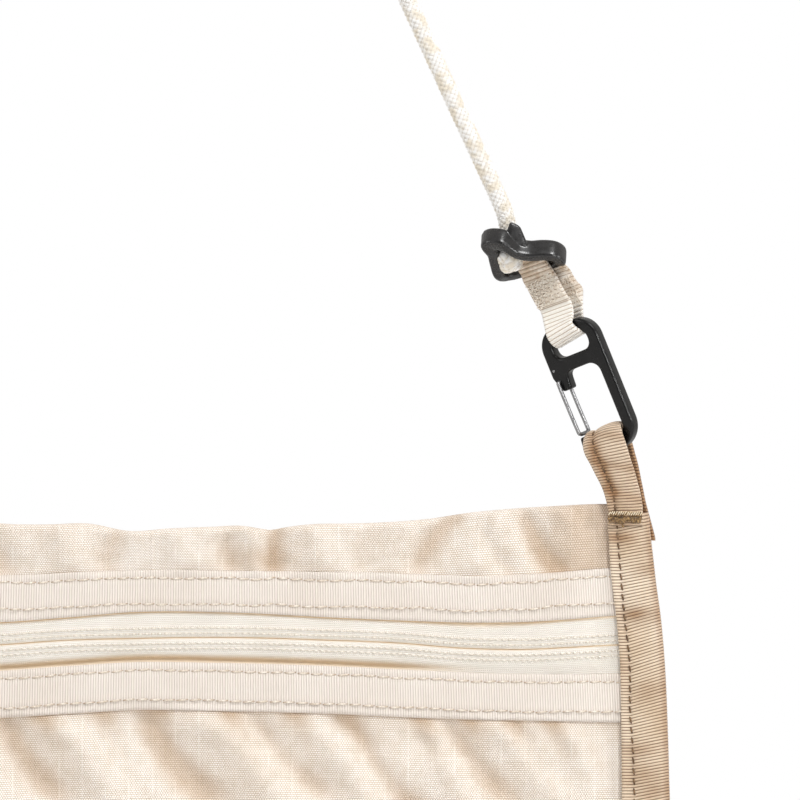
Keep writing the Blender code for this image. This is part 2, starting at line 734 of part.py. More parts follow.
carabiner = make_carabiner()
carabiner_pieces = [carabiner, mirrored(carabiner, "left_carabiner", "aluminium")]
gate = make_gate()
left_gate = mirrored(gate, "left_gate", "steel")

pouch_pieces = [make_body(), *make_zip()]
binding = union(make_binding_tape(), [make_loop()], "tan")
bartack = make_bartack()
pouch_pieces += [binding, mirrored(binding, "left_binding", "tan")]
pouch_pieces += [bartack, mirrored(bartack, "left_bartack", "thread")]

slider, puller_axis = make_slider()
puller = make_puller(puller_axis)

eye_bar = CARABINER @ Vector((0.0, EYE_BAR_CENTRE, 0.0))
basket_bar = CARABINER @ Vector((0.0, BASKET_BAR_CENTRE, 0.0))
gate_pivot = CARABINER @ Vector((GATE_PIVOT[0], GATE_PIVOT[1], 0.0))

pivot("tabs_swing", (0.0, TAB_TOP.y, TAB_TOP.z), tab_pieces)
pivot("carabiners_swing", (0.0, eye_bar.y, eye_bar.z), carabiner_pieces)
pivot("pouch_swing", (0.0, basket_bar.y, basket_bar.z), pouch_pieces)
pivot("right_gate_turn", gate_pivot, [gate])
pivot("left_gate_turn", (-gate_pivot.x, gate_pivot.y, gate_pivot.z), [left_gate])
pivot("zip_travel", (SLIDER_X, 0.0, ZIP_Z), [slider])
pivot("puller_turn", puller_axis, [puller])
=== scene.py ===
import math

import bmesh
import bpy
import numpy as np
from mathutils import Matrix, Vector


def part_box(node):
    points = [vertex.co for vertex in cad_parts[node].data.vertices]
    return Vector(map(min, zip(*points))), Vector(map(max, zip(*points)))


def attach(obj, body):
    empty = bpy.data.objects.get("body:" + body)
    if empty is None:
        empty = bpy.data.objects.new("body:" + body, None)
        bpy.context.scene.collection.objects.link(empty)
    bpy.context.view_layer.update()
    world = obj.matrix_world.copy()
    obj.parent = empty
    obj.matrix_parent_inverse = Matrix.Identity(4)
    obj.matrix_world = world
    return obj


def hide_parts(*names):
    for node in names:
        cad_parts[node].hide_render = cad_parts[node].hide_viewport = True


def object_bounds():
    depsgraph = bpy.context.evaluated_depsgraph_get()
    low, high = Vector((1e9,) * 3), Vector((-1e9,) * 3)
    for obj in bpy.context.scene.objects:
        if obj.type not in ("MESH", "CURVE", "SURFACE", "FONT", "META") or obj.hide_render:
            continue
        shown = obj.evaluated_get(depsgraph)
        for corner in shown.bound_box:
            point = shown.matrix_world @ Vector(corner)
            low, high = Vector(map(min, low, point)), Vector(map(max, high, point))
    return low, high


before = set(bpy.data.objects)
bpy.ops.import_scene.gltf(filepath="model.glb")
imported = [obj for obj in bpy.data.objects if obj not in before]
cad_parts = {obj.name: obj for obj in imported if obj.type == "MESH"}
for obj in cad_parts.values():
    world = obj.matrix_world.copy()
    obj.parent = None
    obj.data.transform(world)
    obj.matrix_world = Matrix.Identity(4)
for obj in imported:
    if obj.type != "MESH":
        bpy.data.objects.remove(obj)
cad_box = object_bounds()
MM = 0.001

# Driving sizes, in millimetres, in the same frame as the part
POUCH_TOP = -228.0
POUCH_BOTTOM = -398.0
HALF_WIDTH_BOTTOM = 127.0
HALF_WIDTH_LEAN = 6.5
BINDING_WIDTH = 13.0
EDGE_RISE = 9.0
EDGE_LAND = 1.5
FLAT_DEPTH = 2.0
FRONT_BELLY = 5.0
BACK_BELLY = 6.0
MID_GAP = 0.15
CORD_DIAMETER = 4.9
CORD_ROUTE = [
    (0.0, 2.2), (7.2, 0.8), (13.3, -3.2), (17.3, -8.8), (30.0, -36.0), (42.8, -63.5), (55.6, -91.0),
    (68.0, -118.0), (80.1, -144.3), (82.1, -150.2), (82.5, -153.5), (82.6, -157.0),
]

# Numeric helpers


def smooth_step(value):
    value = np.clip(value, 0.0, 1.0)
    return value * value * (3.0 - 2.0 * value)


def mix(a, b, share):
    return a + (b - a) * share


def bell(value, width):
    """A smooth hump: 1 at zero, about a third at the width."""
    return np.exp(-(value / width) ** 2)


def through(points):
    """A smooth function of x through given points (x, value), level beyond both ends."""
    xs = np.array([p[0] for p in points], float)
    vs = np.array([p[1] for p in points], float)
    slopes = np.gradient(vs, xs)

    def value(x):
        x = np.clip(x, xs[0], xs[-1])
        k = np.clip(np.searchsorted(xs, x) - 1, 0, len(xs) - 2)
        span = xs[k + 1] - xs[k]
        t = (x - xs[k]) / span
        a = (1 + 2 * t) * (1 - t) ** 2 * vs[k] + t * (1 - t) ** 2 * span * slopes[k]
        return a + t * t * (3 - 2 * t) * vs[k + 1] + t * t * (t - 1) * span * slopes[k + 1]

    return value


def smooth_path(route, step, closed=False):
    """Points at even steps along a smooth curve through the route's own points."""
    route = np.array(route, float)
    count = len(route)
    spans = count if closed else count - 1
    dense = []
    for index in range(spans):
        ids = [index - 1, index, index + 1, index + 2]
        ids = [i % count for i in ids] if closed else [min(max(i, 0), count - 1) for i in ids]
        a, b, c, d = route[ids]
        for t in np.arange(24) / 24:
            dense.append(
                0.5 * (2 * b + (c - a) * t + (2 * a - 5 * b + 4 * c - d) * t * t + (3 * b - a - 3 * c + d) * t ** 3)
            )
    dense.append(route[0] if closed else route[-1])
    dense = np.array(dense)
    lengths = np.concatenate([[0], np.cumsum(np.linalg.norm(np.diff(dense, axis=0), axis=1))])
    pieces = max(2, int(round(lengths[-1] / step)))
    at = np.linspace(0, lengths[-1], pieces + 1)
    if closed:
        at = at[:-1]
    return np.stack([np.interp(at, lengths, dense[:, i]) for i in range(3)], axis=1)


def unit(vectors):
    return vectors / np.maximum(np.linalg.norm(vectors, axis=-1, keepdims=True), 1e-12)


def path_frames(points, first, closed=False):
    """Side and up directions carried along a path without twisting."""
    if closed:
        tangents = unit(np.roll(points, -1, axis=0) - np.roll(points, 1, axis=0))
    else:
        tangents = unit(np.gradient(points, axis=0))
    side = np.array(first, float)
    sides = []
    for tangent in tangents:
        side = side - tangent * side.dot(tangent)
        side = side / np.linalg.norm(side)
        sides.append(side)
    sides = np.array(sides)
    return sides, np.cross(tangents, sides)


# Mesh helpers; every coordinate comes in millimetres


def make_mesh(name, verts, faces, uvs=None, painted_shade=None):
    mesh = bpy.data.meshes.new(name)
    mesh.from_pydata((np.asarray(verts) * MM).tolist(), [], faces)
    if uvs is not None:
        layer = mesh.uv_layers.new(name="UVMap")
        loops = np.zeros(len(mesh.loops), dtype=np.int32)
        mesh.loops.foreach_get("vertex_index", loops)
        layer.data.foreach_set("uv", np.asarray(uvs)[loops].astype(np.float32).ravel())
    # This attribute holds painted shade, from 0 to 1, by which the materials darken the colour.
    if painted_shade is not None:
        attribute = mesh.attributes.new("painted_shade", "FLOAT", "POINT")
        attribute.data.foreach_set("value", np.asarray(painted_shade, dtype=np.float32))
    mesh.validate()
    obj = bpy.data.objects.new(name, mesh)
    bpy.context.scene.collection.objects.link(obj)
    mesh.shade_smooth()
    return obj


def face_outwards(obj):
    bm = bmesh.new()
    bm.from_mesh(obj.data)
    bmesh.ops.recalc_face_normals(bm, faces=bm.faces)
    bm.to_mesh(obj.data)
    bm.free()
    return obj


def loft(name, rings, uvs=None, painted_shade=None, closed=False, sharp=None):
    """A closed skin over rings of points, with flat ends unless it closes on itself."""
    rings = np.asarray(rings, float)
    n, m = rings.shape[:2]
    ids = np.arange(n * m).reshape(n, m)
    a = ids[:-1] if not closed else ids
    b = ids[1:] if not closed else np.roll(ids, -1, axis=0)
    quads = np.stack([a, np.roll(a, -1, axis=1), np.roll(b, -1, axis=1), b], axis=-1).reshape(-1, 4)
    faces = quads.tolist()
    if not closed:
        faces.append(ids[0][::-1].tolist())
        faces.append(ids[-1].tolist())
    flat_uvs = None if uvs is None else np.asarray(uvs, float).reshape(-1, 2)
    flat_painted_shade = None if painted_shade is None else np.asarray(painted_shade, float).ravel()
    obj = make_mesh(name, rings.reshape(-1, 3), faces, flat_uvs, flat_painted_shade)
    face_outwards(obj)
    if sharp:
        obj.data.set_sharp_from_angle(angle=math.radians(sharp))
    return obj


FRONT = (0.0, -1.0, 0.0)
BACK = (0.0, 1.0, 0.0)


def surface_normals(grid, spot=None, facing=FRONT):
    """Unit normals of a grid of points, turned so that the one at spot, or their mean, looks along facing."""
    normals = unit(np.cross(np.gradient(grid, axis=0), np.gradient(grid, axis=1)))
    sample = normals.reshape(-1, 3).mean(axis=0) if spot is None else normals[spot]
    return -normals if np.dot(sample, facing) < 0 else normals


def arc_lengths(grid, axis):
    steps = np.linalg.norm(np.diff(grid, axis=axis), axis=-1)
    pad = [(0, 0), (0, 0)]
    pad[axis] = (1, 0)
    return np.cumsum(np.pad(steps, pad), axis=axis)


def ribbon(name, grid, thickness, relief=None, normals=None, painted_shade=None, straight=False):
    """A tape with its own thickness behind a grid of points (along, across), and ribs raised on both faces."""
    if normals is None:
        normals = surface_normals(grid)
    along = arc_lengths(grid, 0).mean(axis=1, keepdims=True) * np.ones(grid.shape[:2])
    across = grid[:, :, 0] if straight else arc_lengths(grid, 1)
    raised = relief(along, across) if relief is not None else np.zeros(grid.shape[:2])
    edge = np.ones(grid.shape[1])
    edge[[0, -1]] = 0.25
    front = grid + normals * (raised * edge)[..., None]
    back = grid - normals * (thickness + raised * edge * 0.6)[..., None]
    rings = np.concatenate([front, back[:, ::-1]], axis=1)
    uv_front = np.stack([across, along], axis=-1) * MM
    uvs = np.concatenate([uv_front, uv_front[:, ::-1]], axis=1)
    marks = None if painted_shade is None else np.concatenate([painted_shade, painted_shade[:, ::-1]], axis=1)
    return loft(name, rings, uvs, painted_shade=marks)


def ribs(pitch, height):
    """Rounded cross ribs with narrow grooves between them."""
    def relief(along, across):
        return height * (np.abs(np.sin(np.pi * along / pitch)) ** 0.6 - 0.6)
    return relief


STITCH_STATIONS = 6
STITCH_SIDES = 6
STITCH_SINK = 0.75


def stitch_faces(base):
    """The faces of one stitch's closed skin, its rings of points numbered from base."""
    faces = []
    for ring in range(base, base + (STITCH_STATIONS - 1) * STITCH_SIDES, STITCH_SIDES):
        for j in range(STITCH_SIDES):
            a, b = ring + j, ring + (j + 1) % STITCH_SIDES
            faces.append([a, b, b + STITCH_SIDES, a + STITCH_SIDES])
    faces.append([base + j for j in range(STITCH_SIDES)][::-1])
    faces.append([base + (STITCH_STATIONS - 1) * STITCH_SIDES + j for j in range(STITCH_SIDES)])
    return faces


def stitches(name, line, outward, length, gap, radius, twist=0.0):
    """A row of thread stitches along a line of points, each one dipping into the cloth at both ends."""
    line = np.asarray(line, float)
    outward = unit(np.broadcast_to(np.asarray(outward, float), line.shape).copy())
    lengths = np.concatenate([[0], np.cumsum(np.linalg.norm(np.diff(line, axis=0), axis=1))])
    count = int((lengths[-1] - gap) // (length + gap))
    share = np.linspace(-1, 1, STITCH_STATIONS)
    verts, faces, ends = [], [], []
    for k in range(count):
        start = gap / 2 + k * (length + gap)
        at = start + np.linspace(0, 1, STITCH_STATIONS) * length
        centre = np.stack([np.interp(at, lengths, line[:, i]) for i in range(3)], axis=1)
        out = unit(np.stack([np.interp(at, lengths, outward[:, i]) for i in range(3)], axis=1))
        tangent = unit(centre[-1] - centre[0])
        side = unit(np.cross(out, tangent))
        dip = radius * (STITCH_SINK - 2.2 * STITCH_SINK * np.abs(share) ** 3)
        centre = centre + out * dip[:, None] + side * (twist * share)[:, None]
        size = radius * (1.0 - 0.35 * np.abs(share) ** 4)
        faces += stitch_faces(len(verts))
        for i in range(STITCH_STATIONS):
            for j in range(STITCH_SIDES):
                angle = 2 * math.pi * j / STITCH_SIDES
                spot = centre[i] + (side[i] * math.cos(angle) * 1.15 + out[i] * math.sin(angle)) * size[i]
                verts.append(spot)
                # How near each point is to the stitch's end, carried as painted shade for the needle holes.
                ends.append(abs(share[i]) ** 2)
    return face_outwards(make_mesh(name, verts, faces, painted_shade=ends))


def threads(name, segments, outward, radius):
    """Short separate threads between pairs of places, each one bowed outwards and sunk at its ends."""
    verts, faces = [], []
    outward = unit(np.asarray(outward, float))
    for a, b in segments:
        a, b = np.asarray(a, float), np.asarray(b, float)
        side = unit(np.cross(outward, unit(b - a)))
        faces += stitch_faces(len(verts))
        for i in range(STITCH_STATIONS):
            share = i / (STITCH_STATIONS - 1)
            s = share * 2 - 1
            centre = mix(a, b, share) + outward * radius * (0.7 - 1.6 * abs(s) ** 3)
            size = radius * (1 - 0.4 * s ** 4)
            for j in range(STITCH_SIDES):
                angle = 2 * math.pi * j / STITCH_SIDES
                verts.append(centre + (side * math.cos(angle) + outward * math.sin(angle)) * size)
    return face_outwards(make_mesh(name, verts, faces))


def around_path(sides, ups, angle):
    """Unit directions round a path, one ring of them at each of its points."""
    return sides[:, None] * np.cos(angle)[None, :, None] + ups[:, None] * np.sin(angle)[None, :, None]


def mirrored(obj, name):
    """The same piece on the other side of the plane x = 0."""
    twin = obj.copy()
    twin.data = obj.data.copy()
    twin.name = name
    twin.data.name = name
    bpy.context.scene.collection.objects.link(twin)
    twin.data.transform(Matrix.Scale(-1.0, 4, (1.0, 0.0, 0.0)))
    twin.data.flip_normals()
    return twin


# Materials

BLACK = (0.0, 0.0, 0.0)
WHITE = (1.0, 1.0, 1.0)
NOISE_ROUGHNESS = 0.55


def grey(level):
    return (level, level, level)


class Look:
    """A Principled material with short ways to add the procedural parts of it."""

    def __init__(self, name, roughness, metallic=0.0, sheen=0.0, specular=0.5):
        self.material = bpy.data.materials.new(name)
        self.material.use_nodes = True
        self.nodes = self.material.node_tree.nodes
        self.links = self.material.node_tree.links
        self.shader = self.nodes["Principled BSDF"]
        self.shader.inputs["Roughness"].default_value = roughness
        self.shader.inputs["Metallic"].default_value = metallic
        self.shader.inputs["Sheen Weight"].default_value = sheen
        self.shader.inputs["Specular IOR Level"].default_value = specular

    def add(self, kind, **values):
        node = self.nodes.new(kind)
        for key, value in values.items():
            setattr(node, key, value)
        return node

    def join(self, source, target):
        self.links.new(source, target)

    def uv(self):
        node = self.add("ShaderNodeUVMap", uv_map="UVMap")
        split = self.add("ShaderNodeSeparateXYZ")
        self.join(node.outputs["UV"], split.inputs[0])
        return split.outputs[0], split.outputs[1]

    def painted_shade(self):
        """The painted shade that the mesh itself carries, from 0 to 1."""
        return self.add("ShaderNodeAttribute", attribute_name="painted_shade").outputs["Fac"]

    def math(self, operation, a, b=None):
        node = self.add("ShaderNodeMath", operation=operation)
        for socket, value in zip(node.inputs, (a, b)):
            if value is None:
                continue
            if isinstance(value, (int, float)):
                socket.default_value = value
            else:
                self.join(value, socket)
        return node.outputs[0]

    def times(self, a, b):
        return self.math("MULTIPLY", a, b)

    def plus(self, a, b):
        return self.math("ADD", a, b)

    def wave(self, coordinate, pitch):
        """From 0 in the groove to 1 on the ridge, once in every pitch of metres."""
        turned = self.times(coordinate, math.pi / pitch)
        return self.math("ABSOLUTE", self.math("SINE", turned))

    def noise(self, scale, detail):
        node = self.add("ShaderNodeTexNoise")
        node.inputs["Scale"].default_value = scale
        node.inputs["Detail"].default_value = detail
        node.inputs["Roughness"].default_value = NOISE_ROUGHNESS
        self.join(self.add("ShaderNodeTexCoord").outputs["Object"], node.inputs["Vector"])
        return node.outputs[0]

    def ramp(self, factor, stops):
        node = self.add("ShaderNodeValToRGB")
        elements = node.color_ramp.elements
        while len(elements) < len(stops):
            elements.new(0.5)
        for element, (position, colour) in zip(elements, stops):
            element.position = position
            element.color = (*colour, 1.0)
        self.join(factor, node.inputs[0])
        return node.outputs[0]

    def blend(self, factor, a, b, kind="MIX"):
        node = self.add("ShaderNodeMix", data_type="RGBA", blend_type=kind)
        if isinstance(factor, (int, float)):
            node.inputs[0].default_value = factor
        else:
            self.join(factor, node.inputs[0])
        for socket, value in ((node.inputs[6], a), (node.inputs[7], b)):
            if isinstance(value, tuple):
                socket.default_value = (*value, 1.0)
            else:
                self.join(value, socket)
        return node.outputs[2]

    def tint(self, a, b):
        """One colour multiplied by the other."""
        return self.blend(1.0, a, b, "MULTIPLY")

    def bump(self, height, distance, strength, after=None):
        node = self.add("ShaderNodeBump")
        node.inputs["Distance"].default_value = distance
        node.inputs["Strength"].default_value = strength
        self.join(height, node.inputs["Height"])
        if after is not None:
            self.join(after, node.inputs["Normal"])
        return node.outputs[0]

    def colour(self, socket):
        self.join(socket, self.shader.inputs["Base Color"])
        return self

    def normal(self, socket):
        self.join(socket, self.shader.inputs["Normal"])
        return self

    def rough(self, socket):
        self.join(socket, self.shader.inputs["Roughness"])
        return self


RIPSTOP_PITCH = 0.0062
WEAVE_PITCH = 0.00066
WEAVE_PITCH_UP = WEAVE_PITCH * 0.85
RIPSTOP_SHARPNESS = 260.0


def ripstop_look():
    """Plain weave with a faint, broken grid of thicker threads, a few slubs and a slight sheen."""
    look = Look("ripstop_cloth", roughness=0.52, sheen=0.2, specular=0.35)
    u, v = look.uv()
    row = look.math("FLOOR", look.math("DIVIDE", v, WEAVE_PITCH_UP))
    shifted = look.plus(u, look.times(look.math("MODULO", row, 2.0), WEAVE_PITCH / 2))
    dots = look.times(look.wave(shifted, WEAVE_PITCH), look.wave(v, WEAVE_PITCH_UP))
    grid_u = look.math("POWER", look.wave(look.plus(u, RIPSTOP_PITCH / 2), RIPSTOP_PITCH), RIPSTOP_SHARPNESS)
    grid_v = look.math("POWER", look.wave(look.plus(v, RIPSTOP_PITCH / 2), RIPSTOP_PITCH), RIPSTOP_SHARPNESS)
    grid = look.math("MAXIMUM", grid_u, look.times(grid_v, 0.55))
    worn = look.ramp(look.noise(120.0, 3.0), [(0.42, BLACK), (0.62, WHITE)])
    cloud = look.noise(34.0, 5.0)
    base = look.ramp(cloud, [(0.32, (0.955, 0.90, 0.838)), (0.68, (0.99, 0.955, 0.915))])
    slubs = look.ramp(look.noise(300.0, 4.0), [(0.35, (0.93, 0.91, 0.88)), (0.6, WHITE)])
    # The dark colour between the weave's dots is painted shade in the gaps between the threads.
    threads = look.ramp(dots, [(0.05, (0.58, 0.46, 0.35)), (0.5, WHITE)])
    woven = look.tint(look.tint(base, threads), slubs)
    share = look.times(look.times(grid, worn), 0.5)
    height = look.plus(dots, look.times(grid, 0.8))
    fine = look.bump(height, 0.0001, 0.75)
    # Painted shade: the mesh's painted shade tints the cloth brown in its folds, under the lower facing and at its
    # corners.
    painted_shade = look.painted_shade()
    lined = look.blend(share, woven, (1.0, 0.96, 0.90))
    look.colour(look.blend(painted_shade, lined, look.tint(lined, (0.74, 0.63, 0.52))))
    look.normal(look.bump(look.noise(240.0, 2.0), 0.0002, 0.25, after=fine))
    return look.material


def grosgrain_look(name, groove, ridge, shade, pitch):
    """Cross ribs of thick thread with fine warp threads running over them."""
    look = Look(name, roughness=0.62, sheen=0.2, specular=0.3)
    u, v = look.uv()
    rib = look.wave(v, pitch)
    warp = look.wave(u, 0.00022)
    tone = look.plus(rib, look.times(look.noise(900.0, 2.0), 0.16))
    # The groove colour, darker than the ridge's, is painted shade in the grooves between the ribs.
    base = look.ramp(tone, [(0.12, groove), (0.86, ridge)])
    soft = look.ramp(look.noise(55.0, 3.0), [(0.3, shade), (0.66, WHITE)])
    height = look.plus(rib, look.times(warp, 0.12))
    # Painted shade: where the mesh carries painted shade, the tape is tinted brown.
    painted_shade = look.painted_shade()
    woven = look.tint(base, soft)
    toned = look.blend(painted_shade, woven, look.tint(woven, (0.52, 0.37, 0.25)))
    look.colour(toned)
    look.normal(look.bump(height, pitch * 0.2, 0.9))
    return look.material


def zip_tape_look():
    """A fine herringbone weave, with golden painted shade where the two tapes meet and along the edges of the
    facings.
    """
    look = Look("zip_tape_weave", roughness=0.7, sheen=0.2, specular=0.3)
    u, v = look.uv()
    slant = look.plus(v, look.times(look.wave(u, 0.0022), 0.0011))
    weave = look.times(look.wave(slant, 0.00056), look.wave(u, 0.0005))
    # The darker colour between the threads is painted shade in the weave's hollows.
    base = look.ramp(weave, [(0.05, (0.86, 0.78, 0.67)), (0.55, (1.0, 0.98, 0.94))])
    soft = look.ramp(look.noise(80.0, 3.0), [(0.3, (0.93, 0.92, 0.90)), (0.7, WHITE)])
    # Painted shade: the mesh's painted shade turns the tape golden brown.
    painted_shade = look.painted_shade()
    look.colour(look.blend(painted_shade, look.tint(base, soft), (0.88, 0.60, 0.29)))
    look.normal(look.bump(weave, 0.00014, 0.9))
    return look.material


def thread_look(name, dark, light, roughness=0.6, hole=(0.30, 0.20, 0.12)):
    """Twisted sewing thread, with painted shade where its stitches go down into the cloth."""
    look = Look(name, roughness=roughness, sheen=0.2, specular=0.4)
    tone = look.noise(1400.0, 2.0)
    ends = look.painted_shade()
    # hole is the colour of the painted shade in the needle holes at the stitches' ends.
    look.colour(look.blend(ends, look.ramp(tone, [(0.35, dark), (0.65, light)]), hole))
    look.normal(look.bump(tone, 0.00008, 0.6))
    return look.material


def braid_look():
    """Braided cord: its strands are in the mesh, and this adds their threads and the shade between them."""
    look = Look("braided_cord", roughness=0.7, sheen=0.25, specular=0.35)
    painted_shade = look.painted_shade()
    u, v = look.uv()
    fibre = look.wave(look.plus(v, u), 0.00028)
    patch = look.ramp(look.noise(330.0, 2.0), [(0.40, (0.84, 0.77, 0.65)), (0.58, (0.95, 0.94, 0.92))])
    raised = look.ramp(painted_shade, [(0.0, BLACK), (0.55, WHITE)])
    look.colour(look.blend(raised, (0.60, 0.53, 0.44), patch))
    look.normal(look.bump(fibre, 0.00006, 0.6))
    return look.material


def webbing_look():
    """Ribbed nylon webbing, glossier than the grosgrain."""
    look = Look("nylon_webbing", roughness=0.5, sheen=0.3, specular=0.5)
    u, v = look.uv()
    rib = look.wave(v, 0.00116)
    grain = look.wave(look.plus(u, look.times(v, 0.35)), 0.00042)
    # The groove colour, darker than the ridge's, is painted shade in the grooves between the ribs.
    base = look.ramp(rib, [(0.06, (0.50, 0.36, 0.24)), (0.42, (1.0, 0.965, 0.90))])
    flecks = look.ramp(grain, [(0.15, (0.86, 0.84, 0.80)), (0.6, WHITE)])
    painted_shade = look.painted_shade()
    # Painted shade: the mesh's painted shade, broken into patches by noise, tints the webbing brown.
    patches = look.ramp(look.noise(420.0, 3.0), [(0.38, grey(0.5)), (0.6, WHITE)])
    patchy_shade = look.times(painted_shade, patches)
    toned = look.tint(base, flecks)
    look.colour(look.blend(patchy_shade, toned, look.tint(toned, (0.58, 0.45, 0.33))))
    look.normal(look.bump(look.plus(rib, look.times(grain, 0.4)), 0.00018, 0.7))
    return look.material


def anodised_look():
    """Satin black anodised aluminium, a little rubbed."""
    look = Look("black_anodised", roughness=0.3, specular=0.3)
    tone = look.noise(220.0, 3.0)
    look.colour(look.ramp(tone, [(0.3, (0.0012, 0.0012, 0.0013)), (0.7, (0.0028, 0.0027, 0.0026))]))
    look.rough(look.ramp(look.noise(600.0, 3.0), [(0.3, grey(0.25)), (0.7, grey(0.36))]))
    look.normal(look.bump(look.noise(2600.0, 2.0), 0.00002, 0.4))
    return look.material


def plastic_look():
    """Moulded black plastic with a fine spark texture."""
    look = Look("black_moulding", roughness=0.3, specular=0.6)
    tone = look.noise(300.0, 3.0)
    look.colour(look.ramp(tone, [(0.3, (0.003, 0.0028, 0.003)), (0.7, (0.013, 0.0122, 0.0125))]))
    look.rough(look.ramp(look.noise(900.0, 2.0), [(0.3, grey(0.24)), (0.7, grey(0.34))]))
    look.normal(look.bump(look.noise(2600.0, 2.0), 0.00001, 0.2))
    return look.material


def steel_look():
    """Polished steel wire with faint drawing marks."""
    look = Look("polished_steel", roughness=0.42, metallic=1.0)
    look.shader.inputs["Specular Tint"].default_value = (0.05, 0.05, 0.05, 1.0)
    look.colour(look.ramp(look.noise(500.0, 2.0), [(0.3, (0.26, 0.26, 0.265)), (0.7, (0.34, 0.34, 0.345))]))
    look.normal(look.bump(look.noise(500.0, 2.0), 0.000004, 0.1))
    return look.material


def slider_look():
    """Cream enamel on cast zinc."""
    look = Look("cream_enamel", roughness=0.32, specular=0.5)
    look.colour(look.ramp(look.noise(240.0, 3.0), [(0.3, (0.76, 0.68, 0.55)), (0.7, (0.82, 0.75, 0.63))]))
    look.normal(look.bump(look.noise(700.0, 2.0), 0.00003, 0.35))
    return look.material


def floor_look():
    look = Look("pale_floor", roughness=0.9, specular=0.1)
    look.colour(look.ramp(look.noise(3.0, 2.0), [(0.3, grey(0.86)), (0.7, grey(0.9))]))
    return look.material


TAN_RIB = 0.00082
FACING_RIB = 0.000677
MATERIALS = {
    "ripstop": ripstop_look(),
    "facing": grosgrain_look(
        "ivory_facing", (0.66, 0.58, 0.51), (0.885, 0.815, 0.75), (0.955, 0.94, 0.925), FACING_RIB),
    "tan": grosgrain_look("tan_tape", (0.21, 0.12, 0.06), (0.90, 0.765, 0.61), (0.78, 0.69, 0.59), TAN_RIB),
    "zip": zip_tape_look(),
    "coil": thread_look("zip_coil_nylon", (0.55, 0.42, 0.25), (0.70, 0.57, 0.38), 0.5),
    # Each hole colour is the painted shade of that thread's needle holes.
    "ivory_thread": thread_look(
        "ivory_stitching", (0.70, 0.60, 0.48), (0.97, 0.91, 0.82), hole=(0.38, 0.26, 0.16)),
    "zip_thread": thread_look(
        "zip_stitching", (0.90, 0.84, 0.74), (1.0, 0.97, 0.90), hole=(0.40, 0.28, 0.16)),
    "tan_thread": thread_look(
        "tan_stitching", (0.10, 0.05, 0.02), (0.30, 0.18, 0.085), hole=(0.05, 0.022, 0.008)),
    "gold_thread": thread_look("gold_stitching", (0.60, 0.44, 0.25), (0.97, 0.88, 0.70)),
    "bartack_thread": thread_look("bartack_stitching", (0.09, 0.045, 0.014), (0.42, 0.26, 0.10)),
    "cord": braid_look(),
    "webbing": webbing_look(),
    "anodised": anodised_look(),
    "plastic": plastic_look(),
    "steel": steel_look(),
    "slider": slider_look(),
    "floor": floor_look(),
}


def finish_piece(obj, look, body, slot, *nodes):
    obj.data.materials.clear()
    obj.data.materials.append(MATERIALS[look])
    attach(obj, body)
    if nodes:
        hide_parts(*nodes)
    return obj


# Camera, light and floor

VIEW_WIDTH = 213.3
VIEW_CENTRE = (53.6, -197.7)
CAMERA_DISTANCE = 3.2
SENSOR = 36.0
FLOOR_DROP = 0.06
WORLD_LEVEL = 0.10
# What is added to the world's level: axis of the direction, where the ramp starts and ends, and its gain
WORLD_RAMPS = [(1, -0.35, 0.5, 0.40), (2, -0.1, 0.95, 0.50), (0, -0.25, -1.0, 0.35), (0, 0.55, 1.0, 0.3)]


def set_camera():
    data = bpy.data.cameras.new("camera")
    data.sensor_width = SENSOR
    data.lens = SENSOR * CAMERA_DISTANCE / (VIEW_WIDTH * MM)
    data.clip_end = 50.0
    camera = bpy.data.objects.new("camera", data)
    camera.location = (VIEW_CENTRE[0] * MM, -CAMERA_DISTANCE, VIEW_CENTRE[1] * MM)
    camera.rotation_euler = (math.radians(90.0), 0.0, 0.0)
    bpy.context.scene.collection.objects.link(camera)
    bpy.context.scene.camera = camera


def add_area(name, place, target, size, power):
    data = bpy.data.lights.new(name, "AREA")
    data.shape = "DISK"
    data.size = size
    data.energy = power
    light = bpy.data.objects.new(name, data)
    light.location = place
    light.rotation_euler = (Vector(target) - Vector(place)).to_track_quat("-Z", "Y").to_euler()
    bpy.context.scene.collection.objects.link(light)
    return light


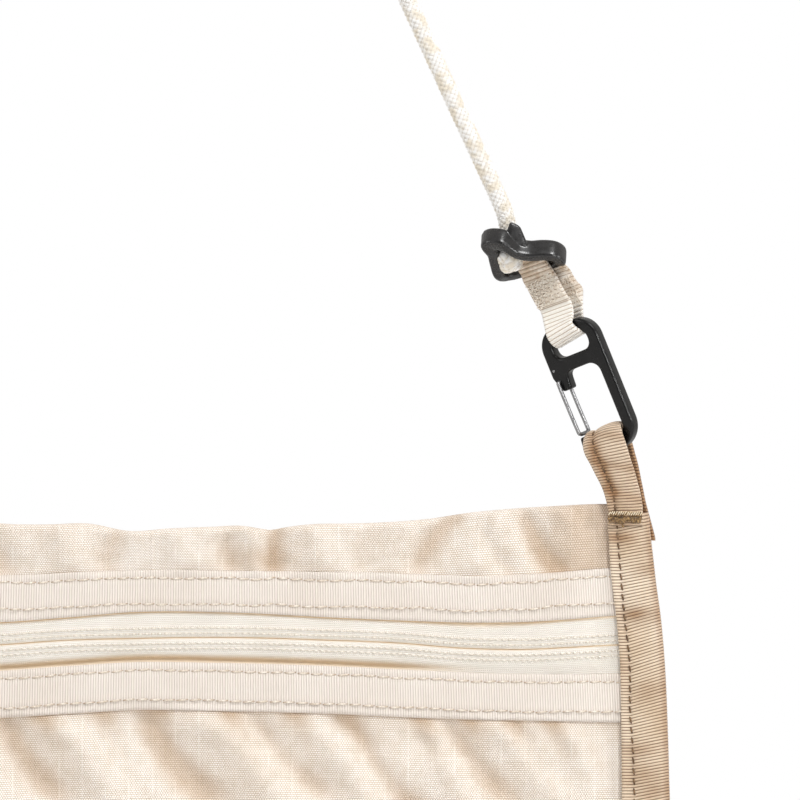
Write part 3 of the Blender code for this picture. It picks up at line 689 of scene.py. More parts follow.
def set_light():
    scene = bpy.context.scene
    scene.view_settings.view_transform = "Standard"
    world = bpy.data.worlds.new("studio")
    world.use_nodes = True
    scene.world = world
    nodes = world.node_tree.nodes
    links = world.node_tree.links
    around = nodes["Background"]
    around.inputs["Color"].default_value = (1.0, 0.975, 0.945, 1.0)
    split = nodes.new("ShaderNodeSeparateXYZ")
    links.new(nodes.new("ShaderNodeTexCoord").outputs["Generated"], split.inputs[0])
    level = nodes.new("ShaderNodeValue")
    level.outputs[0].default_value = WORLD_LEVEL
    total = level.outputs[0]
    for socket, start, end, gain in WORLD_RAMPS:
        ramp = nodes.new("ShaderNodeMapRange")
        ramp.interpolation_type = "SMOOTHSTEP"
        ramp.inputs["From Min"].default_value = start
        ramp.inputs["From Max"].default_value = end
        ramp.inputs["To Max"].default_value = gain
        links.new(split.outputs[socket], ramp.inputs["Value"])
        add = nodes.new("ShaderNodeMath")
        links.new(ramp.outputs[0], add.inputs[0])
        links.new(total, add.inputs[1])
        total = add.outputs[0]
    links.new(total, around.inputs["Strength"])
    seen = nodes.new("ShaderNodeBackground")
    seen.inputs["Color"].default_value = (1.0, 1.0, 1.0, 1.0)
    seen.inputs["Strength"].default_value = 1.0
    path = nodes.new("ShaderNodeLightPath")
    choose = nodes.new("ShaderNodeMixShader")
    links.new(path.outputs["Is Camera Ray"], choose.inputs[0])
    links.new(around.outputs[0], choose.inputs[1])
    links.new(seen.outputs[0], choose.inputs[2])
    links.new(choose.outputs[0], nodes["World Output"].inputs["Surface"])
    target = (0.02, 0.0, -0.25)
    add_area("key", (0.45, -0.95, 1.1), target, 0.45, 15.0)
    add_area("rim", (1.4, -0.6, 0.1), target, 0.35, 5.0)
    edge = add_area("edge", (0.63, -1.06, 0.02), (0.10, 0.0, -0.19), 0.16, 6.0)
    edge.visible_diffuse = False
    add_area("fill", (-1.3, -0.9, 0.3), target, 0.6, 4.5)


def make_floor():
    bm = bmesh.new()
    bmesh.ops.create_grid(bm, x_segments=8, y_segments=8, size=1.4)
    mesh = bpy.data.meshes.new("floor")
    bm.to_mesh(mesh)
    bm.free()
    floor = bpy.data.objects.new("floor", mesh)
    floor.location = (0.0, 0.0, float(cad_box[0][2]) - FLOOR_DROP)
    mesh.materials.append(MATERIALS["floor"])
    bpy.context.scene.collection.objects.link(floor)


set_camera()
set_light()
make_floor()

# Neck cord


def braid_height(turn, along, strands, lay):
    """How far the braid stands out, from 0 to 1, at a share of a turn and a length along the cord."""
    a = turn * strands + along / lay * strands / 2
    b = turn * strands - along / lay * strands / 2
    over = (np.floor(a) + np.floor(b)) % 2 == 0
    bulge_a = np.sin(np.pi * (a % 1.0)) ** 0.75
    bulge_b = np.sin(np.pi * (b % 1.0)) ** 0.75
    run_a = np.sin(np.pi * (b % 1.0)) ** 0.35
    run_b = np.sin(np.pi * (a % 1.0)) ** 0.35
    return np.where(over, bulge_a * run_a, bulge_b * run_b)


def braided_tube(name, points, radius, depth, around=36, first=(0, 1, 0), closed=False, strands=8, lay=6.2):
    sides, ups = path_frames(points, first, closed)
    steps = np.linalg.norm(np.diff(points, axis=0), axis=1)
    along = np.concatenate([[0], np.cumsum(steps)])
    turn = np.arange(around) / around
    height = braid_height(turn[None, :], along[:, None], strands, lay)
    size = radius - depth + depth * height
    angle = turn * 2 * math.pi
    rings = points[:, None] + around_path(sides, ups, angle) * size[..., None]
    uvs = np.stack(np.broadcast_arrays(turn[None, :] * 2 * math.pi * radius, along[:, None]), axis=-1) * MM
    # The strands' height is passed on as painted shade; the material paints the cord darker between the strands.
    return loft(name, rings, uvs, painted_shade=height, closed=closed)


def cord_points(step):
    right = [(x, 0.0, z) for x, z in CORD_ROUTE]
    left = [(-x, 0.0, z) for x, z in reversed(CORD_ROUTE[1:])]
    return smooth_path(left + right, step)


def make_knot():
    """The cord's end tied in an overhand stopper knot, drawn tight."""
    low, high = (np.array(c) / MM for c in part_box("right_cord_knot"))
    centre, half = (low + high) / 2, (high - low) / 2
    t = np.linspace(0, 2 * math.pi, 97)[:-1]
    knot = np.stack([
        np.sin(t) + 2 * np.sin(2 * t),
        np.cos(t) - 2 * np.cos(2 * t),
        -1.35 * np.sin(3 * t),
    ], axis=1)
    strand = 2.05
    half = half * np.array([1.2, 1.2, 1.36])
    centre = centre + np.array([0.15, -0.4, 0.2])
    knot = knot / 3.0 * (half - strand * 0.98)[None, :]
    knot = knot @ np.array(Matrix.Rotation(math.radians(35), 3, "X")).T
    points = smooth_path(knot + centre, 0.2, closed=True)
    return braided_tube(
        "right_stopper_knot", points, strand, depth=0.2, around=24, first=(0.3, 0.5, 1), closed=True, strands=6,
        lay=5.0,
    )


def make_cord():
    points = cord_points(0.25)
    cord = braided_tube("neck_cord_braid", points, CORD_DIAMETER / 2, depth=0.46)
    finish_piece(cord, "cord", "neck_line", "cord_braid", "neck_cord")
    knot = finish_piece(make_knot(), "cord", "neck_line", "cord_braid", "right_cord_knot")
    twin = finish_piece(mirrored(knot, "left_stopper_knot"), "cord", "neck_line", "cord_braid", "left_cord_knot")
    route = cord_points(3.0) * MM


make_cord()

# The pouch's surface


def half_width(z):
    share = np.clip((z - POUCH_BOTTOM) / (POUCH_TOP - POUCH_BOTTOM), 0.0, 1.0)
    return HALF_WIDTH_BOTTOM - HALF_WIDTH_LEAN * share ** 2


def depth(x, z, belly, belly_top):
    inner = half_width(z) - BINDING_WIDTH - EDGE_LAND
    plateau = smooth_step((inner - np.abs(x)) / EDGE_RISE)
    dome = np.maximum(1.0 - (x / inner) ** 2, 0.0) ** 0.8
    share = np.clip((z - POUCH_BOTTOM) / (POUCH_TOP - POUCH_BOTTOM), 0.0, 1.0)
    rise = np.where(share < belly_top, np.sin(math.pi * share / belly_top), 0.0)
    return MID_GAP + FLAT_DEPTH * plateau + belly * dome * rise


def across_pouch(points):
    """A curve across the pouch from its measured right part, carried on to the unseen left side."""
    left = [(-x, z + 0.5 * math.sin(x / 11.0)) for x, z in points if x > 28.0]
    return through(sorted(left) + [p for p in points if p[0] > -20.0])


top_edge = across_pouch([
    (-18.4, -232.6), (-7.7, -231.9), (2.9, -231.5), (12.6, -231.3), (16.0, -231.9), (19.2, -232.3), (22.6, -231.7),
    (29.6, -230.8), (40.3, -230.6), (50.9, -230.2), (61.6, -229.3), (72.3, -227.7), (82.9, -226.7), (93.6, -226.0),
    (107.0, -225.4), (118.0, -225.6),
])
upper_facing_top = across_pouch([
    (-19.0, -243.0), (20.0, -243.3), (50.9, -243.8), (80.3, -244.5), (92.5, -243.8), (109.3, -242.5), (120.0, -242.2),
])
upper_facing_low = across_pouch([
    (-19.0, -254.3), (11.0, -254.4), (34.4, -255.6), (55.0, -256.5), (75.0, -257.0), (90.0, -256.7),
    (100.3, -256.0), (111.0, -255.2), (121.0, -254.8),
])
zip_centre = across_pouch([
    (-19.0, -261.3), (8.3, -261.0), (34.4, -261.7), (53.6, -262.5), (69.6, -263.8), (85.6, -264.2),
    (101.6, -263.5), (111.5, -263.0), (121.0, -262.8),
])
lower_facing_high = across_pouch([
    (-19.0, -267.6), (8.0, -267.8), (34.4, -268.6), (58.0, -269.7), (80.3, -270.6), (98.0, -270.7), (121.0, -270.5),
])
lower_facing_low = across_pouch([
    (-19.0, -280.4), (10.0, -280.7), (34.4, -281.3), (61.6, -282.5), (96.3, -283.3), (121.0, -283.9),
])

# Soft folds of the front: start, end, half width and height of each, all in millimetres
FRONT_FOLDS = [
    (-16, -281, 8, -306, 4.5, -1.5), (-2, -280, 26, -312, 6.0, 1.5), (14, -283, 36, -304, 4.0, -1.3),
    (30, -284, 50, -312, 5.5, 1.4), (42, -286, 60, -310, 4.0, -1.5), (55, -282, 72, -304, 4.0, 1.0),
    (56, -282, 66, -293, 3.0, -0.9), (66, -284, 86, -306, 3.8, -1.2), (76, -283, 96, -303, 4.0, 1.1),
    (84, -284, 97, -299, 3.0, -1.0), (96, -284, 108, -305, 3.5, 0.9), (36, -281, 40, -290, 3.5, -1.0),
    (-40, -282, -20, -312, 5.5, 1.4), (-52, -282, -34, -306, 4.5, -1.3), (-78, -284, -52, -316, 6.0, 1.3),
    (-92, -286, -74, -308, 4.5, -1.1), (-106, -290, -90, -320, 5.0, 1.0),
    (-60, -312, 10, -352, 10.0, 1.2), (0, -318, 60, -360, 9.0, -1.4), (30, -312, 96, -368, 9.0, 1.3),
    (-100, -330, -50, -372, 9.0, -1.2), (60, -310, 108, -350, 7.0, -1.1), (-30, -346, 40, -388, 9.0, 1.0),
    (-96, -352, -40, -388, 8.0, 0.9), (50, -368, 104, -388, 7.0, 0.8),
    (7, -233, 10, -245, 3.2, -0.9), (21, -231, 20, -245, 3.0, -1.5), (14, -231, 15, -246, 3.0, 0.7),
    (30, -231, 33, -245, 4.5, 0.9), (46, -231, 42, -245, 4.0, -0.5), (56, -229, 50, -245, 4.0, 0.5),
    (71, -227, 57, -245, 3.2, -1.3), (80, -227, 70, -246, 4.0, 0.9), (86, -227, 98, -246, 3.2, -1.3),
    (96, -226, 106, -243, 3.5, 0.9), (76, -232, 84, -246, 2.6, -0.7), (-8, -232, -4, -246, 4.5, 0.6),
    (-20, -232, -26, -246, 4.0, -0.9), (-38, -231, -34, -246, 5.0, 0.8), (-58, -230, -50, -246, 4.0, -1.0),
    (-74, -228, -68, -246, 4.5, 0.9), (-92, -227, -84, -246, 4.0, -1.0), (-104, -228, -100, -244, 4.0, 0.7),
]
# Where the cloth is gathered under the lower facing, drawn only as painted shade
POCKETS = (-103, -88, -71, -57, -42, -26, -11, 8.3, 25, 39.5, 59, 72, 83.7, 93.6)
BACK_FOLDS = [
    (-90, -240, -40, -330, 9.0, 1.3), (-60, -236, -20, -290, 6.0, -1.2), (-20, -234, 30, -320, 9.0, 1.2),
    (10, -236, 60, -300, 7.0, -1.3), (50, -232, 92, -310, 8.0, 1.1), (88, -236, 106, -280, 5.0, -0.9),
    (-100, -290, -60, -380, 8.0, -1.0), (-40, -320, 20, -384, 9.0, 1.0), (20, -330, 80, -386, 8.0, -1.1),
    (70, -320, 108, -376, 7.0, 0.9), (-108, -250, -96, -300, 5.0, 0.8),
]


BODY_COLUMNS = 208
CLOTH_THICKNESS = 0.3
TOP_FOLD = 1.6
BOTTOM_FOLD = 2.6
FRONT_FOLD_GAIN = 2.5
BACK_FOLD_GAIN = 1.7


def folds(x, z, ridges):
    total = np.zeros(np.broadcast(x, z).shape)
    for x0, z0, x1, z1, width, height in ridges:
        span = math.hypot(x1 - x0, z1 - z0)
        ux, uz = (x1 - x0) / span, (z1 - z0) / span
        along = ((x - x0) * ux + (z - z0) * uz) / span
        bend = 0.16 * span * np.sin(np.pi * np.clip(along, -0.3, 1.3)) * (0.5 if height > 0 else -0.5)
        off = (x - x0) * -uz + (z - z0) * ux - bend
        size = width * (0.75 + 0.5 * np.clip(along, 0.0, 1.0))
        reach = smooth_step((along + 0.25) / 0.5) * smooth_step((1.3 - along) / 0.65)
        total = total + height * bell(off, size) * reach
    return total


def ripple(x, z, seed):
    """Small soft unevenness, the sum of a few slow waves at set angles."""
    total = 0.0
    for k in range(7):
        angle = seed + 2.4 * k
        pitch = 9.0 + 3.7 * k
        total = total + np.sin((x * math.cos(angle) + z * math.sin(angle)) * 2 * math.pi / pitch + seed * k) / 7
    return total


def seam_hold(x, z):
    """From 0 at the bindings, the bottom and the zip's sewn strip to 1 in the free cloth."""
    side = smooth_step((half_width(z) - BINDING_WIDTH - 1.0 - np.abs(x)) / 14.0)
    bottom = smooth_step((z - POUCH_BOTTOM - 2.0) / 12.0)
    above = smooth_step((z - upper_facing_top(x) + 3.0) / 6.0)
    below = smooth_step((lower_facing_low(x) - z + 3.0) / 8.0)
    return side * bottom * np.maximum(above, below)


def front_face(x, z):
    """How far in front of the middle plane the front cloth's outer face is."""
    free = seam_hold(x, z)
    level = depth(x, z, FRONT_BELLY, 0.64) + 0.35
    lift = FRONT_FOLD_GAIN * folds(x, z, FRONT_FOLDS) + 0.5 * ripple(x, z, 1.3)
    side = smooth_step((half_width(z) - BINDING_WIDTH - 2.0 - np.abs(x)) / 12.0)
    slack = 0.22 * ripple(x, z * 0.4, 4.0) * side
    return np.maximum(level + lift * free + slack * (1.0 - free), 0.5)


def back_face(x, z):
    side = smooth_step((half_width(z) - BINDING_WIDTH - 1.0 - np.abs(x)) / 14.0)
    ends = smooth_step((z - POUCH_BOTTOM - 2.0) / 12.0) * smooth_step((top_edge(x) - 2.0 - z) / 9.0)
    lift = BACK_FOLD_GAIN * folds(x, z, BACK_FOLDS) + 0.4 * ripple(x, z, 2.1)
    return np.maximum(depth(x, z, BACK_BELLY, 0.95) + 0.35 + lift * side * ends, 0.5)


def make_body():
    share = np.sin(np.pi / 2 * np.linspace(-1, 1, BODY_COLUMNS) * 0.9) / math.sin(np.pi / 2 * 0.9)
    low = POUCH_BOTTOM + 3.0
    rows = []

    def row(z_of, y_of):
        reach = half_width(z_of(share * 118.0)) - 2.2
        x = share * reach
        z = z_of(x)
        rows.append(np.stack([x, y_of(x, z), z], axis=-1))

    def in_front(x, z):
        return -front_face(x, z)

    def lip(x):
        return top_edge(x) - TOP_FOLD

    turns = np.linspace(0, np.pi, 9)[1:-1]
    for s in np.linspace(0, 1, 84):
        row(lambda x: mix(lower_facing_high(x) - 5.0, low, s), in_front)
    for a in turns:
        face = front_face if a < np.pi / 2 else back_face
        row(lambda x: low + 0 * x - BOTTOM_FOLD * math.sin(a), lambda x, z: -math.cos(a) * face(x, low))
    for s in np.linspace(0, 1, 96):
        row(lambda x: mix(low, lip(x), s), back_face)
    for a in turns:
        face = back_face if a < np.pi / 2 else front_face
        row(lambda x: lip(x) + TOP_FOLD * math.sin(a), lambda x, z: math.cos(a) * face(x, lip(x)))
    for s in np.linspace(0, 1, 24):
        row(lambda x: mix(lip(x), upper_facing_low(x) + 5.0, s), in_front)
    grid = np.array(rows)
    normals = surface_normals(grid, (30, BODY_COLUMNS // 2))
    shade = body_shade(grid)
    body = ribbon("ripstop_cloth", grid, CLOTH_THICKNESS, normals=normals, straight=True, painted_shade=shade)
    finish_piece(body, "ripstop", "pouch", "ripstop", "ripstop_body")


def body_shade(grid):
    """Painted shade on the cloth: in its folds, under the lower facing, in its gathered pockets, at the upper right
    corner and in a patch near the top.
    """
    x, z = grid[:, :, 0], grid[:, :, 2]
    front = (grid[:, :, 1] < 0) * 1.0
    fold_depth = -folds(x, z, FRONT_FOLDS) * front - folds(x, z, BACK_FOLDS) * (1.0 - front)
    # Painted shadow under the lower facing, and painted shade in the cloth gathered beneath it.
    below = np.maximum(lower_facing_low(x) - z, 0.0)
    beneath = front * (z < lower_facing_low(x) + 1.0)
    under = np.exp(-below / 2.0) * beneath
    pockets = sum(bell(x - place - 0.4 * below, 3.2) for place in POCKETS) * np.exp(-below / 4.5) * beneath
    # Painted shade at the upper right corner and in a soft patch near the top.
    corner = 0.8 * smooth_step((x - 86.0) / 16.0) * front * (z > upper_facing_top(x) - 1.0)
    patch = 0.55 * front * np.exp(-((x - 17.0) / 8.0) ** 2 - ((z + 240.5) / 3.2) ** 2)
    tint = 0.75 * front + 0.3 * (1.0 - front)
    hollow = tint * smooth_step((fold_depth - 0.1) / 1.3) + 0.3 * under + 1.1 * pockets + corner + patch
    return np.clip(hollow, 0.0, 1.0)


FACING_THICKNESS = 0.45
FACING_RISE = 0.8
ZIP_TAPE_THICKNESS = 0.35
COIL_WIRE_RADIUS = 0.24
COIL_PITCH = 1.73
# The tapes across the pouch end this far inside its sides; the first guess at where those are
SEAM_INSET = 1.2
SEAM_REACH = 118.5
# How far the rows of stitches run on under the binding
SEAM_COVER = 5.0


def facing_grid(top, low):
    s = np.linspace(-1, 1, 1311)[:, None]
    t = np.linspace(0, 1, 20)[None, :]
    x = s * SEAM_REACH
    limit = half_width(mix(top(x), low(x), t)) - SEAM_INSET
    x = s * limit
    z = mix(top(x), low(x), t)
    height = top(x) - low(x)
    from_top = t * height
    from_low = (1 - t) * height
    dimple = 0.30 * (bell(from_top - 2.2, 0.5) + bell(from_low - 2.2, 0.5))
    roll = 0.35 * (bell(from_top, 0.45) + bell(from_low, 0.45))
    clear = smooth_step((limit - 12.0 - np.abs(x)) / 8.0)
    puff = 0.12 * np.sin(np.pi * t) * clear
    wave = 0.10 * ripple(x * 1.6, z * 0.4, 0.6) * clear
    y = -(front_face(x, z) + FACING_RISE + puff + wave - dimple - roll)
    return np.stack([x, y, z], axis=-1)


def sewn_line(grid, lengths, distance, rise):
    """A line along a tape at a set length across it, raised a little and ending under the bindings."""
    line = np.array([
        [np.interp(distance, at, points[:, i]) for i in range(3)] for points, at in zip(grid, lengths)
    ])
    line[:, 1] -= rise
    return line[np.abs(line[:, 0]) < half_width(line[:, 2]) - BINDING_WIDTH + SEAM_COVER]


def make_facings():
    rib = ribs(FACING_RIB / MM, 0.05)
    for side, top, low, rows in (
        ("upper", upper_facing_top, upper_facing_low, (2.3, 9.4)),
        ("lower", lower_facing_high, lower_facing_low, (2.3, 10.2)),
    ):
        grid = facing_grid(top, low)
        piece = ribbon(side + "_facing_tape", grid, FACING_THICKNESS, relief=rib)
        finish_piece(piece, "facing", "pouch", "ivory_grosgrain", side + "_zip_facing")
        for number, down in enumerate(rows):
            line = sewn_line(grid, arc_lengths(grid, 1), down, 0.1)[::4]
            line[:, 2] += 0.12 * np.sin(line[:, 0] / 3.1 + number)
            name = f"{side}_facing_stitches_{number}"
            row = stitches(name, line, FRONT, length=3.2, gap=0.35, radius=0.22, twist=0.14)
            finish_piece(row, "ivory_thread", "pouch", "ivory_thread")


def zip_slack(x):
    """How loosely the lower tape hangs under its facing: 1 over most of the zip, and 0 at its right end."""
    return smooth_step((78.0 - x) / 30.0)


def tape_grid(edge_of, side, width):
    """A zip tape from the zip's middle line outwards; side is +1 above the line and -1 below it."""
    count = 520
    s = np.linspace(-1, 1, count)[:, None]
    d = np.array([0.02, 0.14, 0.34, 0.62])
    outer = np.linspace(0.0, 1.0, 22)
    x = s * (half_width(zip_centre(s * SEAM_REACH)) - SEAM_INSET)
    middle = zip_centre(x)
    reach = np.abs(edge_of(x) - middle) + width
    far = 0.9 + (reach - 0.9) * outer[None, :]
    dist = np.concatenate([np.broadcast_to(d[None, :], (count, 4)), far], axis=1)
    z = middle + side * dist
    xs = np.broadcast_to(x, z.shape)
    drop = 0.22 * bell(dist, 0.3)
    bulge = 0.22 * smooth_step((dist - 0.4) / 0.6) * smooth_step((3.3 - dist) / 0.8)
    between = 0.10 * bell(dist - 1.85, 0.22)
    valley = (side < 0) * (0.35 + zip_slack(xs) * 1.15) * bell(reach - width - dist - 0.7, 1.0)
    y = -(front_face(xs, z) - 0.1 + bulge - between - drop - valley)
    y = np.minimum(y, -0.75)
    return np.stack([xs, y, z], axis=-1)


def make_zip():
    for side, sign, edge_of, rows in (
        ("upper", 1.0, upper_facing_low, (1.15, 2.6)),
        ("lower", -1.0, lower_facing_high, (1.5, 2.9)),
    ):
        grid = tape_grid(edge_of, sign, 4.5)
        from_line = np.abs(grid[:, :, 2] - zip_centre(grid[:, :, 0]))
        from_facing = np.abs(edge_of(grid[:, :, 0]) - grid[:, :, 2])
        # Painted shade: a golden line along the zip's middle, a painted shadow under the upper facing's edge, and
        # painted shade in the lower tape's valley.
        shade = 0.95 * bell(from_line, 0.17)
        if sign > 0:
            droop = bell(grid[:, :, 0] - 77.0, 14.0)
            shade = shade + (0.9 - 0.2 * droop) * bell(from_facing, mix(0.42, 1.0, droop))
        if sign < 0:
            shade = shade + 0.72 * zip_slack(grid[:, :, 0]) * bell(from_facing - 0.9, 0.9)
        piece = ribbon(side + "_zip_weave", grid, ZIP_TAPE_THICKNESS, painted_shade=np.clip(shade, 0.0, 1.0))
        finish_piece(piece, "zip", "pouch", "zip_tape", side + "_zip_tape")
        for number, distance in enumerate(rows):
            line = sewn_line(grid[::3], from_line[::3], distance, 0.04)
            name = f"{side}_coil_stitches_{number}"
            row = stitches(name, line, FRONT, length=1.35, gap=0.38, radius=0.21)
            finish_piece(row, "zip_thread", "pouch", "zip_tape")
        make_coil(side, sign)


def make_coil(side, sign):
    """The zip's nylon coil: a flattened spiral sewn along the inside of the tape."""
    low, high = (np.array(c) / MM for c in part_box(side + "_zip_coil"))
    turns = int((high[0] - low[0]) / COIL_PITCH)
    t = np.linspace(0, turns, turns * 10)
    x = mix(low[0], high[0], t / turns)
    angle = 2 * np.pi * t
    centre_z = zip_centre(x) + sign * 1.35
    points = np.stack([
        x + 0.25 * np.sin(angle), -1.15 + 0.32 * np.cos(angle), centre_z + sign * 0.85 * np.sin(angle),
    ], axis=1)
    sides, ups = path_frames(points, (0, 0, 1))
    turn = np.arange(6) / 6 * 2 * math.pi
    rings = points[:, None] + around_path(sides, ups, turn) * COIL_WIRE_RADIUS
    coil = loft(side + "_coil_spiral", rings)
    finish_piece(coil, "coil", "pouch", "zip_coil", side + "_zip_coil")


binding_inner = through([
    (-400.0, 113.6), (-340.0, 113.0), (-304.0, 112.7), (-281.0, 112.5), (-264.3, 112.0), (-255.5, 111.2),
    (-245.0, 109.9), (-235.0, 109.2), (-226.0, 108.6),
])
binding_outer = through([
    (-400.0, 127.0), (-370.0, 126.8), (-340.0, 126.4), (-304.0, 125.5), (-287.0, 125.0), (-272.0, 124.3),
    (-256.0, 122.9), (-250.0, 122.1), (-241.0, 121.1), (-235.0, 120.4), (-226.0, 119.6),
])
binding_stitch = through([
    (-400.0, 116.8), (-340.0, 116.4), (-301.0, 116.0), (-288.6, 115.5), (-281.0, 114.9), (-268.6, 114.8),
    (-261.0, 114.1), (-254.5, 113.3), (-245.0, 112.5), (-235.5, 111.7), (-229.0, 111.2),
])

# Painted shade in the binding's creases: place across and up, half width, half height and strength
BINDING_SHADES = [
    (112.0, -234.6, 4.0, 1.4, 0.8), (108.8, -226.5, 1.2, 1.6, 0.6), (116.0, -255.4, 4.2, 1.7, 0.9),
    (118.5, -244.0, 3.0, 2.2, 0.35), (113.0, -269.0, 3.0, 2.0, 0.3), (119.0, -276.0, 4.0, 2.4, 0.35),
    (116.0, -291.0, 5.0, 1.8, 0.45), (121.0, -303.0, 4.0, 2.4, 0.5), (117.0, -330.0, 5.0, 2.2, 0.45),
    (120.0, -352.0, 5.0, 2.0, 0.4), (117.0, -377.0, 4.0, 2.4, 0.45),
]


BINDING_THICKNESS = 0.55
TAN_RIB_HEIGHT = 0.15
# Length and gap of the tan stitches
TAN_STITCH = (2.0, 0.75)
# Shares of the binding's own width in front and round its outer edge
FRONT_SHARE = 0.43
TURN_SHARE = 0.14


def make_binding():
    step = TAN_RIB / MM / 4
    z = np.arange(POUCH_BOTTOM - 0.8, -229.4, step)[:, None]
    across = np.concatenate([np.linspace(0.0, 0.42, 17), np.linspace(0.45, 0.55, 6), np.linspace(0.58, 1.0, 13)])
    t = across[None, :]
    inner, outer = binding_inner(z), binding_outer(z)
    in_front = t < FRONT_SHARE
    behind = t > FRONT_SHARE + TURN_SHARE
    front = np.clip(t / FRONT_SHARE, 0, 1)
    back = np.clip((1 - t) / FRONT_SHARE, 0, 1)
    turn = np.clip((t - FRONT_SHARE) / TURN_SHARE, 0, 1) * np.pi
    face = 2.15
    x_front = mix(inner, outer - 0.9, front)
    x_back = mix(inner + 0.6, outer - 0.9, back)
    x_turn = outer - 0.9 + 0.9 * np.sin(turn)
    x = np.where(in_front, x_front, np.where(behind, x_back, x_turn))
    y = np.where(in_front, -face, np.where(behind, face, -face * np.cos(turn)))
    x, z3 = np.broadcast_arrays(x, z)
    stitch = binding_stitch(z)
    dimple = 0.36 * bell(x - stitch, 0.6)
    pucker = 0.10 * np.sin(2 * np.pi * z / 2.4) * bell(x - stitch, 1.6)
    buckles = 0.55 * bell(z + 252.5 - 0.12 * (x - 112), 3.2) - 0.5 * bell(z + 259.5, 3.0)
    buckles = buckles + 0.4 * bell(z + 296.0, 5.0) - 0.35 * bell(z + 303.0, 5.0)
    middle = np.clip((x - stitch) / (outer - stitch), 0, 1)
    lift = (0.35 + 1.9 * buckles) * np.sin(np.pi * middle) + 0.4 * ripple(x * 0.6, z, 3.0) * middle
    grow = lift - dimple + pucker * 0.6
    y = y + np.where(in_front, -grow, np.where(behind, grow * 0.7, 0.0))
    lean = (0.25 + 0.07 * np.sin(z3 / 9.0)) * (x - stitch) * (x > stitch)
    grid = np.stack([x, y, z3 + lean], axis=-1)
    normals = surface_normals(grid, (60, 4))
    shade = 0.0
    for place_x, place_z, wide, tall, strength in BINDING_SHADES:
        off_x = x - place_x
        off_z = z3 - place_z + 0.12 * off_x
        shade = shade + strength * np.exp(-(off_z / tall) ** 2 - (off_x / wide) ** 2)
    # Painted shadow along the binding's outer edge, and a faint rippled painted shade over the tape.
    rim = 0.6 * smooth_step((x - outer + 2.2) / 2.0)
    shade = shade + rim + 0.35 * np.maximum(ripple(x, z3 * 1.4, 5.0), 0.0)
    binding = ribbon(
        "right_binding_tape", grid, BINDING_THICKNESS, relief=ribs(TAN_RIB / MM, TAN_RIB_HEIGHT), normals=normals,
        painted_shade=np.clip(shade, 0, 1),
    )
    line_z = np.arange(-229.8, POUCH_BOTTOM + 1.0, -0.5)
    column = np.array([
        [np.interp(binding_stitch(v), grid[k, :15, 0], grid[k, :15, 1])]
        for v in line_z for k in [int(np.argmin(np.abs(z[:, 0] - v)))]
    ])[:, 0]
    line = np.stack([binding_stitch(line_z), column - 0.08, line_z], axis=1)
    front_row = stitches("right_binding_stitches", line, FRONT, *TAN_STITCH, radius=0.24, twist=0.14)
    back_line = line * np.array([1.0, 0.0, 1.0]) + np.array([0.0, face - 0.05, 0.0])
    back_row = stitches("right_binding_stitches_back", back_line, BACK, *TAN_STITCH, radius=0.17)
    return binding, front_row, back_row


make_body()
make_facings()
make_zip()

# Right-hand hardware, mirrored to the left

CARABINER_CENTRE = np.array([104.45, 0.0, -194.4])
ACROSS = np.array([0.794752, -0.515038, 0.321101])
ALONG = np.array([-0.374607, 0.0, 0.927184])
OUT = np.array([-0.477535, -0.857167, -0.192937])
HALF_W = 9.0
HALF_L = 18.75
SIDE_BAR = 3.4
BASKET_BAR = 4.6
THICKNESS = 3.6
EYE_BAR_AT = HALF_L - SIDE_BAR / 2
TAB_TOP = np.array([90.6, 3.0, -162.7])


def on_carabiner(u, v, n):
    """A place, or places, in the carabiner's own axes: across, along and out of its face."""
    u, v, n = np.broadcast_arrays(u, v, n)
    return CARABINER_CENTRE + u[..., None] * ACROSS + v[..., None] * ALONG + n[..., None] * OUT


def arc(centre, radius, start, end, steps):
    angles = np.radians(np.linspace(start, end, steps + 1))
    return [(centre[0] + radius * math.cos(a), centre[1] + radius * math.sin(a)) for a in angles]


def evaluated(obj, name):
    """The object's finished shape as a plain mesh object in place of it."""
    graph = bpy.context.evaluated_depsgraph_get()
    mesh = bpy.data.meshes.new_from_object(obj.evaluated_get(graph))
    mesh.name = name
    mesh.transform(obj.matrix_world)
    bpy.data.objects.remove(obj, do_unlink=True)
    result = bpy.data.objects.new(name, mesh)
    bpy.context.scene.collection.objects.link(result)
    mesh.shade_smooth()
    return result


def squarish(count, power):
    """Places round a rounded square, from -1 to 1 on both axes; a lower power gives it sharper corners."""
    angle = np.linspace(0, 2 * math.pi, count, endpoint=False)
    c, s = np.cos(angle), np.sin(angle)
    return np.sign(c) * np.abs(c) ** power, np.sign(s) * np.abs(s) ** power


def welded(pieces, name, voxel):
    """Several closed skins made into one, its inner corners softened."""
    base = pieces[0]
    bm = bmesh.new()
    for piece in pieces:
        bm.from_mesh(piece.data)
    bm.to_mesh(base.data)
    bm.free()
    for piece in pieces[1:]:
        bpy.data.objects.remove(piece, do_unlink=True)
    remesh = base.modifiers.new("Remesh", "REMESH")
    remesh.mode = "VOXEL"
    remesh.voxel_size = voxel * MM
    smooth = base.modifiers.new("Smooth", "SMOOTH")
    smooth.factor = 0.5
    smooth.iterations = 3
    return evaluated(base, name)


